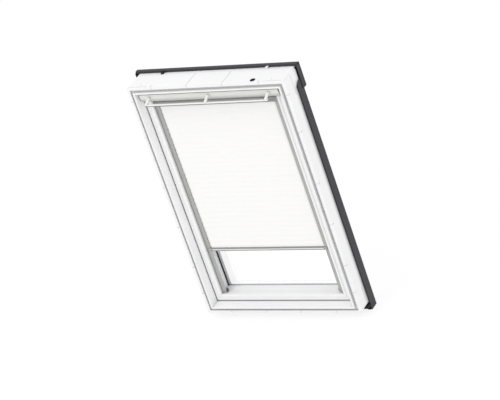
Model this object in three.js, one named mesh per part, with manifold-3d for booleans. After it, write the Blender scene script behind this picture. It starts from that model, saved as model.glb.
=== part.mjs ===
// Centre-pivot roof window with a pleated blind in its sash.
// Millimetres. +X runs across the window, to the right as seen from the room.
// +Z runs up the window. +Y runs through it, from the room to the weather.
// The origin is the middle of the frame's underside, half way through its depth.
//
// Most sections are drawn as points [u, d]: u is the distance inward from the frame's
// outer edge, and d is the depth behind the room-side face of the frame.

import * as THREE from 'three';
import { mergeVertices } from 'three/addons/utils/BufferGeometryUtils.js';
import Module from 'manifold-3d';

const wasm = await Module();
wasm.setup();

// Driving dimensions of the window

const frameWidth = 780;
const frameHeight = 1178;
const frameDepth = 110;
const frameInner = 46;
const stripWidth = 14.5;
const liningGrooveWidth = 12.5;
const liningGrooveDepth = 11;
const lipProud = 5.5;
const lipWidth = 7.5;
const lipRound = 2;
const revealDepth = 27;
const revealBulge = 1.2;
const cornerRadius = 16;
const cornerSteps = 6;

// Fits and clearances

const seat = 0.3;
const sashGap = 4;
const overrun = 2;
const mitreGap = 0.12;
const slideFit = 0.5;

// Sash

const sashFaceDepth = 30;
const sashFaceWidth = 17;
const beadWidth = 12.5;
const beadProud = 2.5;
const sashInnerWall = 31;
const sashWallEnd = 62;
const glassMargin = 89.5;
const glassSetback = 22;
const glassRebate = 20;

// Glass unit

const paneThickness = 4;
const cavity = 16;
const gasketThickness = 1.6;
const gasketLip = 1.2;
const gasketShow = 5;
const gasketInboard = 6;
const sashSealLead = 6;
const sashSealWidth = 6;
const sashSealThickness = 1.3;
const paneClearance = 2;
const spacerWidth = 12;
const gasketTrim = 1.5;
const spacerFootDrop = 10.5;

// Outside covers

const sheet = 2;
const sideCoverProud = 6;
const sideCoverRise = 15;
const sideCoverWall = 48;
const sideCoverRound = 5;
const sideCoverDrop = 33;
const sideCoverLap = 46;
const sideCoverShoulder = 26;
const coverRebate = 0.6;
const coverRebateLead = 1.5;
const hoodProud = 10;
const hoodClearance = 21.2;
const hoodWall = 22;
const hoodSeatReach = 6;
const hoodReach = 74;
const hoodRound = 6;
const hoodReturn = 106;
const hoodReturnWall = 29;
const hoodSideGap = 1.2;
const hoodLip = 12;
const sashCoverReach = 91;
const sashCoverBottomReach = 80;
const sillReach = 8;
const sillLip = 5;

// Pivot

const pivotDepth = 70;
const pivotPinRadius = 6;
const pivotPinLength = 16;
const pivotPlateLength = 84;
const pivotPlateWidth = 24;
const pivotPlateThickness = 1.6;
const pivotMortise = 1.5;
const pivotRunningGap = 0.35;

// Ventilation flap, control bar and lock

const flapLip = 43;
const flapWebFoot = 50.5;
const flapEnd = 48;
const flapFoot = 80;
const flapTopDepth = 6;
const flapFootDepth = 14;
const flapBack = 26.5;
const flapWall = 3;
const flapCrown = 2.4;
const flapSteps = 8;
const lugWidth = 12;
const lugWall = 2;
const hingeRodRadius = 2.5;
const hingeRodInset = 5;
const hingeSides = 16;
const barDepth = -29;
const barDrop = 75;
const barEndInset = 87;
const barThickness = 7;
const barWidth = 12;
const barRound = 3;
const barCap = 4;
const bracketWidth = 9;
const bracketHeight = 7;
const bracketRoot = 56;
const bracketCurl = 7;
const boltWidth = 14;
const boltThickness = 6;
const boltLength = 28;
const boltThrow = 9;
const boltDepth = 52;
const keepWidth = 34;
const keepWall = 2;
const keepRun = 44;

// Blind

const railWidth = 22;
const railDepth = 42;
const railThickness = 17;
const railWall = 1.6;
const railRidge = 3;
const railBackFlange = 9;
const headrailTop = 101;
const headrailHeight = 20;
const headrailDepth = 38;
const headrailThickness = 20;
const headrailGroove = 3;
const headrailGrooveDepth = 2;
const headrailCapWidth = 8;
const clothFrontDepth = 44;
const clothThickness = 12;
const clothEdgeInRail = 3.5;
const clothWall = 0.6;
const clothJoint = 2.4;
const clothTopHidden = 7;
const pleatPitch = 25.6;
const barTopRise = 321;
const blindBarHeight = 15;
const blindBarDepth = 40;
const blindBarThickness = 19;
const blindBarGroove = 5;
const blindBarGrooveDepth = 1.5;
const shoeLap = 11;
const shoePlate = 2;
const shoeBridge = 2;
const shoeClearance = 0.7;
const footLength = 12;
const clipReach = 5.5;
const clipRise = 4;
const clipHeight = 14;
const clipThickness = 8;
const clipRound = 2.4;
const cordInset = 11;
const cordRadius = 0.6;
const cordSides = 8;
const cordSlot = 2.6;

// Small frame details

const tickWidth = 2.2;
const tickDepth = 1.4;
const tickRun = 14;
const topTickShares = [0.68, 0.226];
const sideTickShares = [0.092, 0.211, 0.391, 0.567, 0.786, 0.94];
const longGrooveRun = 100;
const cableHoleRadius = 11;
const cableHoleInset = 158;
const cableHoleDepth = 17;
const cableHoleBottom = 14;
const bracketRecessLength = 95;
const bracketRecessWidth = 2;
const bracketRecessDepth = 1.2;
const bracketRecessEnd = 8;
const bracketRecessTopDepth = 3;
const bracketRecessSideDepth = 56;
const screwDimpleRadius = 2.6;
const screwDimpleDepth = 2;
const screwDimpleInset = 68;
const screwDimpleSetback = 19;
const dimpleSides = 12;
const coverFootToe = 27;
const coverFootHeight = 9;
const coverFootPlate = 3;
const coverFootInset = 15;

// Derived places

const halfWidth = frameWidth / 2;
const room = -frameDepth / 2;
const sashOuter = frameInner + sashGap;
const sashInner = sashOuter + sashInnerWall;
const glassSeatDepth = frameDepth - glassSetback;
const sashSealDepth = sashFaceDepth + sashSealLead;
const rebateEdge = sashOuter + glassRebate;
const innerPaneFront = glassSeatDepth + gasketThickness + 2 * seat;
const outerPaneFront = innerPaneFront + paneThickness + cavity;
const sashBack = outerPaneFront + paneThickness + seat;
const railOuter = sashInner + seat;
const railInner = railOuter + railWidth;
const keepReach = boltThrow - sashGap;
const footTop = sashInner + seat + footLength;
const headrailFoot = headrailTop + headrailHeight;
const barRise = frameHeight - barDrop;
const pivotY = room + pivotDepth;
const pivotRise = frameHeight / 2;
const sashCoverBack = sashBack + seat + sheet;
const sideCoverDepth = frameDepth + sideCoverRise;
const sideCoverStart = sideCoverDepth - sideCoverWall;
const hoodDepth = sashCoverBack + hoodClearance + sheet;
const hoodStart = hoodDepth - hoodWall;
const hoodReturnStart = hoodDepth - hoodReturnWall;
const barHalfLength = halfWidth - barEndInset;
const sashClear = halfWidth - sashInner - seat;
const hingeDrop = flapFoot - hingeRodInset;
const hingeDepth = flapBack - hingeRodInset;

// Materials, with the colours of the photograph

const moulding = new THREE.MeshStandardMaterial({ color: '#f4f4f3', roughness: 0.35, metalness: 0 });
const cladding = new THREE.MeshStandardMaterial({ color: '#4b4b50', roughness: 0.45, metalness: 0.6 });
const blackRubber = new THREE.MeshStandardMaterial({ color: '#1a1a1b', roughness: 0.8, metalness: 0 });
const greyRail = new THREE.MeshStandardMaterial({ color: '#a9aca3', roughness: 0.4, metalness: 0.5 });
const flapPaint = new THREE.MeshStandardMaterial({ color: '#d5d8cd', roughness: 0.4, metalness: 0.2 });
const whiteBar = new THREE.MeshStandardMaterial({ color: '#f2f3ee', roughness: 0.35, metalness: 0 });
const clothWhite = new THREE.MeshStandardMaterial({ color: '#f7f5ee', roughness: 0.9, metalness: 0 });
const clearGlass = new THREE.MeshStandardMaterial({
  color: '#e8f2ee', roughness: 0.05, metalness: 0, transparent: true, opacity: 0.35,
});
const spacerGrey = new THREE.MeshStandardMaterial({ color: '#8f8c99', roughness: 0.5, metalness: 0.4 });
const steel = new THREE.MeshStandardMaterial({ color: '#9a9ca0', roughness: 0.35, metalness: 0.9 });
const darkPlastic = new THREE.MeshStandardMaterial({ color: '#3a3b3c', roughness: 0.6, metalness: 0 });
const cordWhite = new THREE.MeshStandardMaterial({ color: '#e6e6e0', roughness: 0.8, metalness: 0 });

// Solids: joining and cutting closed meshes

function toSolid(geometry) {
  const bare = geometry.clone();
  bare.deleteAttribute('normal');
  bare.deleteAttribute('uv');
  const merged = mergeVertices(bare);
  return new wasm.Manifold(new wasm.Mesh({
    numProp: 3,
    vertProperties: new Float32Array(merged.attributes.position.array),
    triVerts: new Uint32Array(merged.index.array),
  }));
}

function toGeometry(solid) {
  const mesh = solid.getMesh();
  const geometry = new THREE.BufferGeometry();
  geometry.setAttribute('position', new THREE.BufferAttribute(new Float32Array(mesh.vertProperties), 3));
  geometry.setIndex(new THREE.BufferAttribute(new Uint32Array(mesh.triVerts), 1));
  geometry.computeVertexNormals();
  return geometry;
}

function cut(geometry, tools) {
  let solid = toSolid(geometry);
  for (const tool of tools) {
    solid = solid.subtract(toSolid(tool));
  }
  return toGeometry(solid);
}

function join(geometries) {
  let solid = toSolid(geometries[0]);
  for (const geometry of geometries.slice(1)) {
    solid = solid.add(toSolid(geometry));
  }
  return toGeometry(solid);
}

// A box from its two opposite corners.
function block(low, high) {
  const size = high.map((value, axis) => value - low[axis]);
  const geometry = new THREE.BoxGeometry(size[0], size[1], size[2]);
  geometry.translate((low[0] + high[0]) / 2, (low[1] + high[1]) / 2, (low[2] + high[2]) / 2);
  return geometry;
}

// A round bar along X, Y or Z, by its middle point.
function rod(axis, radius, length, middle, sides = 24) {
  const geometry = new THREE.CylinderGeometry(radius, radius, length, sides);
  if (axis === 'x') geometry.rotateZ(Math.PI / 2);
  if (axis === 'z') geometry.rotateX(Math.PI / 2);
  geometry.translate(middle[0], middle[1], middle[2]);
  return geometry;
}

// Points of a closed outline, with chosen corners rounded: each entry is [a, b] or [a, b, radius].
function roundedOutline(corners, steps = 4) {
  const points = [];
  corners.forEach((corner, index) => {
    const here = new THREE.Vector2(corner[0], corner[1]);
    const radius = corner[2];
    if (!radius) {
      points.push(here);
      return;
    }
    const count = corners.length;
    const before = corners[(index + count - 1) % count];
    const after = corners[(index + 1) % count];
    const back = new THREE.Vector2(before[0], before[1]).sub(here);
    const ahead = new THREE.Vector2(after[0], after[1]).sub(here);
    const reach = Math.min(radius, back.length() / 2, ahead.length() / 2);
    const start = here.clone().add(back.setLength(reach));
    const end = here.clone().add(ahead.setLength(reach));
    for (let step = 0; step <= steps; step += 1) {
      const t = step / steps;
      const a = start.clone().lerp(here, t);
      const b = here.clone().lerp(end, t);
      points.push(a.lerp(b, t));
    }
  });
  return points;
}

// The same outline, run counter-clockwise.
function counterClockwise(outline) {
  return THREE.ShapeUtils.area(outline) < 0 ? [...outline].reverse() : outline;
}

// Indices turned over where the faces of a closed mesh point inward.
function facingOut(position, index) {
  let volume = 0;
  const corner = (k) => new THREE.Vector3(position[3 * k], position[3 * k + 1], position[3 * k + 2]);
  for (let i = 0; i < index.length; i += 3) {
    volume += corner(index[i]).dot(corner(index[i + 1]).cross(corner(index[i + 2])));
  }
  const geometry = new THREE.BufferGeometry();
  geometry.setAttribute('position', new THREE.Float32BufferAttribute(position, 3));
  geometry.setIndex(volume < 0 ? index.reverse() : index);
  geometry.computeVertexNormals();
  return geometry;
}

// A straight bar of a section, whose two ends lie at distances that the caller works out for
// each point of the section, so that mitres and square ends come from one loft.
function loftedBar(outline, startOf, endOf, place) {
  const section = counterClockwise(outline);
  const count = section.length;
  const position = [];
  section.forEach((point) => position.push(...place(startOf(point), point)));
  section.forEach((point) => position.push(...place(endOf(point), point)));
  const index = [];
  for (let i = 0; i < count; i += 1) {
    const next = (i + 1) % count;
    index.push(i, next, count + next);
    index.push(i, count + next, count + i);
  }
  THREE.ShapeUtils.triangulateShape(section, []).forEach(([a, b, c]) => {
    index.push(a, c, b);
    index.push(count + a, count + b, count + c);
  });
  return facingOut(position, index);
}

// A member of a mitred rectangle, drawn as the bottom one: it runs along X, u runs up from
// the frame's outer edge, and its ends are cut at 45 degrees.
function mitredMember(section, length) {
  return loftedBar(
    section,
    (point) => -length / 2 + point.x + mitreGap,
    (point) => length / 2 - point.x - mitreGap,
    (along, point) => [along, room + point.y, point.x],
  );
}

// A bar of a [y, z] section along X.
function barAlongX(section, from, to) {
  return loftedBar(section, () => from, () => to, (along, point) => [along, point.x, point.y]);
}

// A bar of an [x, y] section along Z.
function barAlongZ(section, from, to) {
  const geometry = new THREE.ExtrudeGeometry(new THREE.Shape(section), {
    depth: to - from, bevelEnabled: false,
  });
  geometry.translate(0, 0, from);
  return geometry;
}

function addMesh(group, name, geometry, material) {
  const mesh = new THREE.Mesh(geometry, material);
  mesh.name = name;
  group.add(mesh);
  return mesh;
}

// The four members of a rectangle stand on the frame's sides by turning about Y.
const sides = {
  bottom: { turn: 0, x: 0, z: 0, length: frameWidth },
  top: { turn: Math.PI, x: 0, z: frameHeight, length: frameWidth },
  left: { turn: Math.PI / 2, x: -halfWidth, z: frameHeight / 2, length: frameHeight },
  right: { turn: -Math.PI / 2, x: halfWidth, z: frameHeight / 2, length: frameHeight },
};

function addMember(group, name, side, geometry, material) {
  const mesh = addMesh(group, name, geometry, material);
  mesh.rotation.y = sides[side].turn;
  mesh.position.set(sides[side].x, 0, sides[side].z);
  return mesh;
}

// One closed ring of a [u, d] section round the window, with square corners. Its bottom run
// can stand lower than the others by footDrop.
function ring(section, footDrop = 0) {
  const count = section.length;
  const turns = [[-1, -1], [1, -1], [1, 1], [-1, 1]];
  const position = [];
  turns.forEach(([across, up]) => section.forEach((point) => position.push(
    across * (halfWidth - point.x),
    room + point.y,
    up > 0 ? frameHeight - point.x : point.x - footDrop,
  )));
  const index = [];
  turns.forEach((turn, k) => {
    const here = k * count;
    const there = ((k + 1) % turns.length) * count;
    for (let i = 0; i < count; i += 1) {
      const next = (i + 1) % count;
      index.push(here + i, here + next, there + next);
      index.push(here + i, there + next, there + i);
    }
  });
  return facingOut(position, index);
}

// Frame

// The frame's section: lining strip, lining groove, raised lip, sloping reveal, and a shallow
// rebate of the outer face under the cover that starts at the given depth.
function frameSection(back, coverStart) {
  const grooveEnd = stripWidth + liningGrooveWidth;
  const lipEnd = grooveEnd + lipWidth;
  const revealMiddle = (lipEnd + frameInner) / 2 - revealBulge;
  return roundedOutline([
    [0, 0],
    [stripWidth, 0],
    [stripWidth, liningGrooveDepth],
    [grooveEnd, liningGrooveDepth],
    [grooveEnd, -lipProud, lipRound],
    [lipEnd, -lipProud, lipRound],
    [revealMiddle, (revealDepth - lipProud) / 2, lipWidth],
    [frameInner, revealDepth],
    [frameInner, back],
    [coverRebate, back],
    [coverRebate, coverStart - coverRebateLead],
    [0, coverStart - coverRebateLead],
  ]);
}

// Takes the sharp corner off a member, leaving the frame's round corner. The member is
// drawn as the bottom one, and hand is -1 for its left end and 1 for its right one.
function cornerRounding(length, hand) {
  const edge = length / 2;
  const middle = [hand * (edge - cornerRadius), cornerRadius];
  const shape = new THREE.Shape();
  shape.moveTo(middle[0], -overrun);
  for (let step = 0; step <= cornerSteps; step += 1) {
    const angle = (Math.PI / 2) * (step / cornerSteps);
    shape.lineTo(
      middle[0] + hand * cornerRadius * Math.sin(angle),
      middle[1] - cornerRadius * Math.cos(angle),
    );
  }
  shape.lineTo(hand * (edge + overrun), middle[1]);
  shape.lineTo(hand * (edge + overrun), -overrun);
  const depth = hoodDepth + 2 * overrun;
  const geometry = new THREE.ExtrudeGeometry(shape, { depth, bevelEnabled: false });
  geometry.rotateX(Math.PI / 2);
  geometry.translate(0, room - overrun + depth, 0);
  return geometry;
}

// A notch across the lining strip, and its short or long line on the outer face.
function tick(place, run) {
  const half = tickWidth / 2;
  return [
    block(
      [place - half, room - overrun, -overrun],
      [place + half, room + tickDepth, stripWidth + overrun],
    ),
    block(
      [place - half, room - overrun, -overrun],
      [place + half, room + run, tickDepth],
    ),
  ];
}

// A shallow line along the outer face where a mounting bracket sits.
function bracketRecess(length, hand, depth) {
  const from = length / 2 - bracketRecessEnd - bracketRecessLength;
  const to = length / 2 - bracketRecessEnd;
  const ends = [hand * from, hand * to].sort((a, b) => a - b);
  return block(
    [ends[0], room + depth, -overrun],
    [ends[1], room + depth + bracketRecessWidth, bracketRecessDepth],
  );
}

function roundedMember(length, back = frameDepth, coverStart = sideCoverStart) {
  return {
    geometry: mitredMember(frameSection(back, coverStart), length),
    tools: [cornerRounding(length, -1), cornerRounding(length, 1)],
  };
}

// The top member runs on behind the others, to carry the hood.
function frameTop() {
  const { geometry, tools } = roundedMember(frameWidth, hoodStart + hoodSeatReach, hoodStart);
  topTickShares.forEach((share, order) => {
    const place = share * halfWidth;
    const run = order === 0 ? tickRun : longGrooveRun;
    tools.push(...tick(place, run), ...tick(-place, run));
  });
  for (const hand of [-1, 1]) {
    tools.push(bracketRecess(frameWidth, hand, bracketRecessTopDepth));
    tools.push(rod('z', screwDimpleRadius, 2 * screwDimpleDepth,
      [hand * (halfWidth - screwDimpleInset), room + screwDimpleSetback, 0], dimpleSides));
  }
  // This member turns over about Y, so its own left is the window's right.
  tools.push(rod('z', cableHoleRadius, 2 * cableHoleBottom,
    [cableHoleInset - halfWidth, room + cableHoleDepth, 0]));
  tools.push(keepPocket());
  return cut(geometry, tools);
}

function frameBottom() {
  const { geometry, tools } = roundedMember(frameWidth);
  for (const share of topTickShares) {
    const place = share * halfWidth;
    tools.push(...tick(place, tickRun), ...tick(-place, tickRun));
  }
  return cut(geometry, tools);
}

// The pocket that a pivot plate is let into, between two distances u, at a place along a side.
function pivotPocket(along, from, to) {
  const halfLength = pivotPlateLength / 2 + seat;
  const halfPlate = pivotPlateWidth / 2 + seat;
  return block([along - halfLength, pivotY - halfPlate, from], [along + halfLength, pivotY + halfPlate, to]);
}

// hand is -1 for the left side and 1 for the right one.
function frameSide(hand) {
  const { geometry, tools } = roundedMember(frameHeight);
  // On the left side the member's own X runs down the window, and on the right side up it.
  for (const share of sideTickShares) {
    tools.push(...tick(hand * (share - 1 / 2) * frameHeight, tickRun));
  }
  tools.push(bracketRecess(frameHeight, -1, bracketRecessSideDepth));
  tools.push(bracketRecess(frameHeight, 1, bracketRecessSideDepth));
  const along = hand * (pivotRise - frameHeight / 2);
  tools.push(pivotPocket(along, frameInner - pivotMortise, frameInner + overrun));
  tools.push(rod('z', pivotPinRadius + pivotRunningGap, 2 * (pivotPinLength + seat),
    [along, pivotY, frameInner]));
  return cut(geometry, tools);
}

// The pocket of the lock's keep, open to the gap below and to the room, so that the bolt can
// leave it in both directions. Drawn for the top member.
function keepPocket() {
  return block(
    [-keepWidth / 2 - seat, room + boltDepth - keepRun, frameInner - keepReach - keepWall - 2 * seat],
    [keepWidth / 2 + seat, room + boltDepth + boltThickness / 2 + keepWall + 3 * seat, frameInner + overrun],
  );
}

// The lock's keep: a plate over the bolt's end and a wall behind it.
function lockKeep() {
  const tipSide = frameInner - keepReach - keepWall - seat;
  const backFace = boltDepth + boltThickness / 2 + seat;
  const section = [
    [boltDepth - boltThickness, tipSide],
    [backFace + keepWall, tipSide],
    [backFace + keepWall, frameInner],
    [backFace, frameInner],
    [backFace, tipSide + keepWall],
    [boltDepth - boltThickness, tipSide + keepWall],
  ].map(([d, u]) => new THREE.Vector2(room + d, u));
  return barAlongX(section, -keepWidth / 2, keepWidth / 2);
}

// The frame's half of a pivot: a plate let into the side, bored for the pin. Built for the
// left side of the window, in the window's own axes, as are the pieces below it.
function framePivotPlate() {
  const back = -halfWidth + frameInner - pivotMortise + seat;
  const plate = block(
    [back, pivotY - pivotPlateWidth / 2, pivotRise - pivotPlateLength / 2],
    [back + pivotPlateThickness, pivotY + pivotPlateWidth / 2, pivotRise + pivotPlateLength / 2],
  );
  const bore = rod('x', pivotPinRadius + pivotRunningGap, 2 * overrun + pivotPlateThickness,
    [back + pivotPlateThickness / 2, pivotY, pivotRise]);
  return cut(plate, [bore]);
}

// The sash's half of a pivot: a plate let into the sash with the pin standing on it.
function pivotPin() {
  const back = -halfWidth + sashOuter + pivotMortise - seat;
  const plate = block(
    [back - pivotPlateThickness, pivotY - pivotPlateWidth / 2, pivotRise - pivotPlateLength / 2],
    [back, pivotY + pivotPlateWidth / 2, pivotRise + pivotPlateLength / 2],
  );
  const tip = -halfWidth + frameInner - pivotPinLength;
  const length = back - tip;
  return join([plate, rod('x', pivotPinRadius, length, [tip + length / 2, pivotY, pivotRise])]);
}

// Mirrors a left-hand piece to the right of the window.
function mirrored(geometry) {
  const loose = geometry.index ? geometry.toNonIndexed() : geometry.clone();
  const position = Array.from(loose.attributes.position.array);
  for (let i = 0; i < position.length; i += 3) position[i] = -position[i];
  const index = Array.from({ length: position.length / 3 }, (unused, k) => k);
  return facingOut(position, index);
}

// Sash

function sashSection() {
  const beadStart = sashOuter + sashFaceWidth;
  const beadEnd = beadStart + beadWidth;
  const beadTop = sashFaceDepth - beadProud;
  return roundedOutline([
    [sashOuter, sashFaceDepth, lipRound],
    [beadStart, sashFaceDepth],
    [beadStart + beadProud / 2, beadTop, beadProud],
    [beadEnd - beadProud / 2, beadTop, beadProud],
    [sashInner, sashFaceDepth + beadProud, beadProud],
    [sashInner, sashWallEnd, lipRound],
    [glassMargin, glassSeatDepth],
    [rebateEdge, glassSeatDepth],
    [rebateEdge, sashBack],
    [sashOuter, sashBack],
  ]);
}

// Places of the flap's hinge lugs on the sash, and of the knuckles on the flap between them.
const lugShares = [-0.86, -0.3, 0.3, 0.86];

function lugPlaces(offset) {
  return lugShares.map((share) => share * barHalfLength + offset);
}

// A round solid on the axis of the flap's hinge.
function hingeBore(radius, width, place) {
  return rod('x', radius, width, [place, room + hingeDepth, hingeDrop], hingeSides);
}

// A hinge eye round the flap's rod, with a web that runs to the given depth.
function hingeEye(place, width, webDepth) {
  const radius = hingeRodRadius + lugWall;
  const ends = [hingeDepth, webDepth].sort((a, b) => a - b);
  return [
    hingeBore(radius, width, place),
    block(
      [place - width / 2, room + ends[0], hingeDrop - radius + seat],
      [place + width / 2, room + ends[1], hingeDrop + radius - seat],
    ),
  ];
}

function sashTop() {
  const member = mitredMember(sashSection(), frameWidth);
  const lugs = lugPlaces(0).flatMap((place) => hingeEye(place, lugWidth, sashFaceDepth + overrun));
  const rodBore = hingeBore(hingeRodRadius + seat, frameWidth, 0);
  const boltSlot = block(
    [-boltWidth / 2 - slideFit, room + boltDepth - boltThickness / 2 - slideFit, sashOuter - overrun],
    [boltWidth / 2 + slideFit, room + boltDepth + boltThickness / 2 + slideFit,
      frameInner - keepReach + boltLength + boltThrow + slideFit],
  );
  return cut(join([member, ...lugs]), [rodBore, boltSlot]);
}

// hand is -1 for the left side and 1 for the right one.
function sashSide(hand) {
  const along = hand * (pivotRise - frameHeight / 2);
  const pocket = pivotPocket(along, sashOuter - overrun, sashOuter + pivotMortise);
  return cut(mitredMember(sashSection(), frameHeight), [pocket]);
}

function sashSeal() {
  return ring(roundedOutline([
    [sashOuter - seat - sashSealThickness, sashSealDepth, sashSealThickness],
    [sashOuter - seat, sashSealDepth],
    [sashOuter - seat, sashSealDepth + sashSealWidth],
    [sashOuter - seat - sashSealThickness, sashSealDepth + sashSealWidth, sashSealThickness],
  ], 2));
}

// Glass unit

// The gasket shows beside the glass and above it. Its bottom run ends behind the sash.
function glazingGasket() {
  const back = glassSeatDepth + seat + gasketThickness;
  const edge = glassMargin + gasketShow;
  const whole = ring(roundedOutline([
    [glassMargin - gasketInboard, glassSeatDepth + seat],
    [glassMargin + seat, glassSeatDepth + seat],
    [glassMargin + seat + gasketLip, glassSeatDepth - gasketLip, gasketLip],
    [edge, glassSeatDepth - gasketLip / 2, gasketLip],
    [edge, back],
    [glassMargin - gasketInboard, back],
  ], 2));
  const trim = block(
    [-halfWidth + edge, room, glassMargin - gasketTrim],
    [halfWidth - edge, -room, edge + overrun],
  );
  return cut(whole, [trim]);
}

function pane(front) {
  const edge = rebateEdge + paneClearance;
  return block(
    [-halfWidth + edge, room + front, edge],
    [halfWidth - edge, room + front + paneThickness, frameHeight - edge],
  );
}

// The spacer's bottom run stands lower than the others, just over the pane's lower edge.
function glassSpacer() {
  const inner = glassMargin + gasketShow + seat;
  return ring([
    [inner - spacerWidth, innerPaneFront + paneThickness + seat],
    [inner, innerPaneFront + paneThickness + seat],
    [inner, outerPaneFront - seat],
    [inner - spacerWidth, outerPaneFront - seat],
  ].map(([u, d]) => new THREE.Vector2(u, d)), spacerFootDrop);
}

// Outside covers of the sash, mitred round the outer pane

function sashCoverSection(reach) {
  const front = sashBack + seat;
  return roundedOutline([
    [sashOuter + slideFit, front],
    [reach, front],
    [reach, front + sheet, sheet],
    [sashOuter + slideFit, front + sheet, sheet],
  ], 2);
}

function sashCover(length, reach) {
  return mitredMember(sashCoverSection(reach), length);
}

// The bottom cover runs on over the frame's bottom member as a sill with a drip lip.
function sashCoverBottom() {
  const front = sashBack + seat;
  const section = roundedOutline([
    [-sillReach, front - sillLip],
    [-sillReach + sheet, front - sillLip],
    [-sillReach + sheet, front],
    [sashOuter + 2 * overrun, front],
    [sashOuter + 2 * overrun, front + sheet],
    [-sillReach, front + sheet, sheet],
  ], 3).map((point) => new THREE.Vector2(room + point.y, point.x));
  const half = halfWidth - sashOuter - slideFit - 2 * overrun;
  return join([sashCover(frameWidth, sashCoverBottomReach), barAlongX(section, -half, half)]);
}

// Outside covers of the frame

function sideCoverSection() {
  const outside = -sideCoverProud;
  return roundedOutline([
    [coverRebate - seat, sideCoverStart],
    [coverRebate - seat, sideCoverStart + sheet],
    [outside + sheet, sideCoverStart + sheet],
    [outside + sheet, sideCoverDepth - sheet, sideCoverRound - sheet],
    [frameInner - sheet, sideCoverDepth - sheet],
    [frameInner - sheet, frameDepth + seat],
    [frameInner, frameDepth + seat],
    [frameInner, sideCoverDepth, sheet],
    [outside, sideCoverDepth, sideCoverRound],
    [outside, sideCoverStart, sheet],
  ], 3).map((point) => new THREE.Vector2(-halfWidth + point.x, room + point.y));
}

// A left-hand side cover between two heights.
function sideCover(from, to) {
  return barAlongZ(sideCoverSection(), from, to);
}

// Rounds off the room-side corner of a side cover's upper end.
function shoulderTool(top) {
  const start = room + sideCoverStart;
  const middle = [start + sideCoverShoulder, top - sideCoverShoulder];
  const outline = [new THREE.Vector2(start - overrun, top + overrun)];
  for (let step = 0; step <= cornerSteps; step += 1) {
    const angle = (Math.PI / 2) * (step / cornerSteps);
    outline.push(new THREE.Vector2(
      middle[0] - sideCoverShoulder * Math.sin(angle),
      middle[1] + sideCoverShoulder * Math.cos(angle),
    ));
  }
  outline.splice(1, 0, new THREE.Vector2(middle[0], top + overrun));
  outline.push(new THREE.Vector2(start - overrun, middle[1]));
  return barAlongX(outline, -halfWidth - sideCoverProud - overrun, -halfWidth + overrun);
}

// The hood over the top member, with a return down each side.
function hood() {
  const side = halfWidth + sideCoverProud + hoodSideGap + sheet;
  const foot = frameHeight - hoodReturn;
  const top = frameHeight + hoodProud;
  const section = roundedOutline([
    [coverRebate - seat, hoodStart],
    [coverRebate - seat, hoodStart + sheet],
    [-hoodProud + sheet, hoodStart + sheet],
    [-hoodProud + sheet, hoodDepth - sheet, hoodRound - sheet],
    [hoodReach - sheet, hoodDepth - sheet],
    [hoodReach - sheet, hoodDepth - hoodLip],
    [hoodReach, hoodDepth - hoodLip],
    [hoodReach, hoodDepth, sheet],
    [-hoodProud, hoodDepth, hoodRound],
    [-hoodProud, hoodStart, sheet],
  ], 4).map((point) => new THREE.Vector2(room + point.y, frameHeight - point.x));
  const solids = [barAlongX(section, -side, side)];
  for (const hand of [-1, 1]) {
    const wall = [hand * (side - sheet), hand * side].sort((a, b) => a - b);
    const plate = [hand * (halfWidth - frameInner), hand * side].sort((a, b) => a - b);
    const back = room + hoodDepth;
    solids.push(block([wall[0], room + hoodReturnStart, foot], [wall[1], back, top - hoodRound]));
    solids.push(block([plate[0], back - sheet, foot], [plate[1], back, top - hoodRound]));
  }
  return join(solids);
}

// The rubber foot that closes a side cover's lower end, with a toe under the frame that
// passes beside the cover's folded edge.
function coverFoot() {
  const outside = -halfWidth - sideCoverProud + sheet + seat;
  const inside = -halfWidth + coverFootInset;
  const fold = room + sideCoverStart;
  const back = room + sideCoverDepth - sideCoverRound - seat;
  const plate = block(
    [outside, fold + sheet + seat, -sideCoverDrop],
    [-halfWidth + frameInner - sheet - seat, back, -sideCoverDrop + coverFootPlate],
  );
  const link = block(
    [-halfWidth + coverRebate, fold - seat - overrun, -sideCoverDrop],
    [inside, fold + sheet + seat + overrun, -seat],
  );
  const toe = block(
    [outside, fold - coverFootToe, -coverFootHeight],
    [inside, fold - seat, -seat],
  );
  return join([plate, link, toe]);
}

// Ventilation flap and control bar

// How deep the flap's crowned front lies at a distance u.
function flapSurface(u) {
  const t = (u - flapLip) / (flapFoot - flapLip);
  return flapTopDepth + t * (flapFootDepth - flapTopDepth) - flapCrown * Math.sin(Math.PI * t);
}

// The flap's section: a crowned front, a top web sloping back to the sash and an open bottom.
function flapSection() {
  const front = [];
  const back = [];
  for (let step = 0; step <= flapSteps; step += 1) {
    const t = step / flapSteps;
    const u = flapLip + t * (flapFoot - flapLip);
    const d = flapSurface(u);
    const inner = flapLip + flapWall + t * (flapFoot - flapLip - 2 * flapWall);
    front.push(new THREE.Vector2(room + d, u));
    back.push(new THREE.Vector2(room + d + flapWall, inner));
  }
  const web = [
    new THREE.Vector2(room + flapBack, flapWebFoot + flapWall),
    new THREE.Vector2(room + flapBack, flapWebFoot),
  ];
  const heel = [
    new THREE.Vector2(room + flapFootDepth + 2 * flapWall, flapFoot),
    new THREE.Vector2(room + flapFootDepth + 2 * flapWall, flapFoot - flapWall),
  ];
  return [...front, ...heel, ...back.reverse(), ...web];
}

// Turns a piece drawn with u upward into the window's top, where u runs down.
function underTop(geometry) {
  geometry.rotateY(Math.PI);
  geometry.translate(0, 0, frameHeight);
  return geometry;
}

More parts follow.
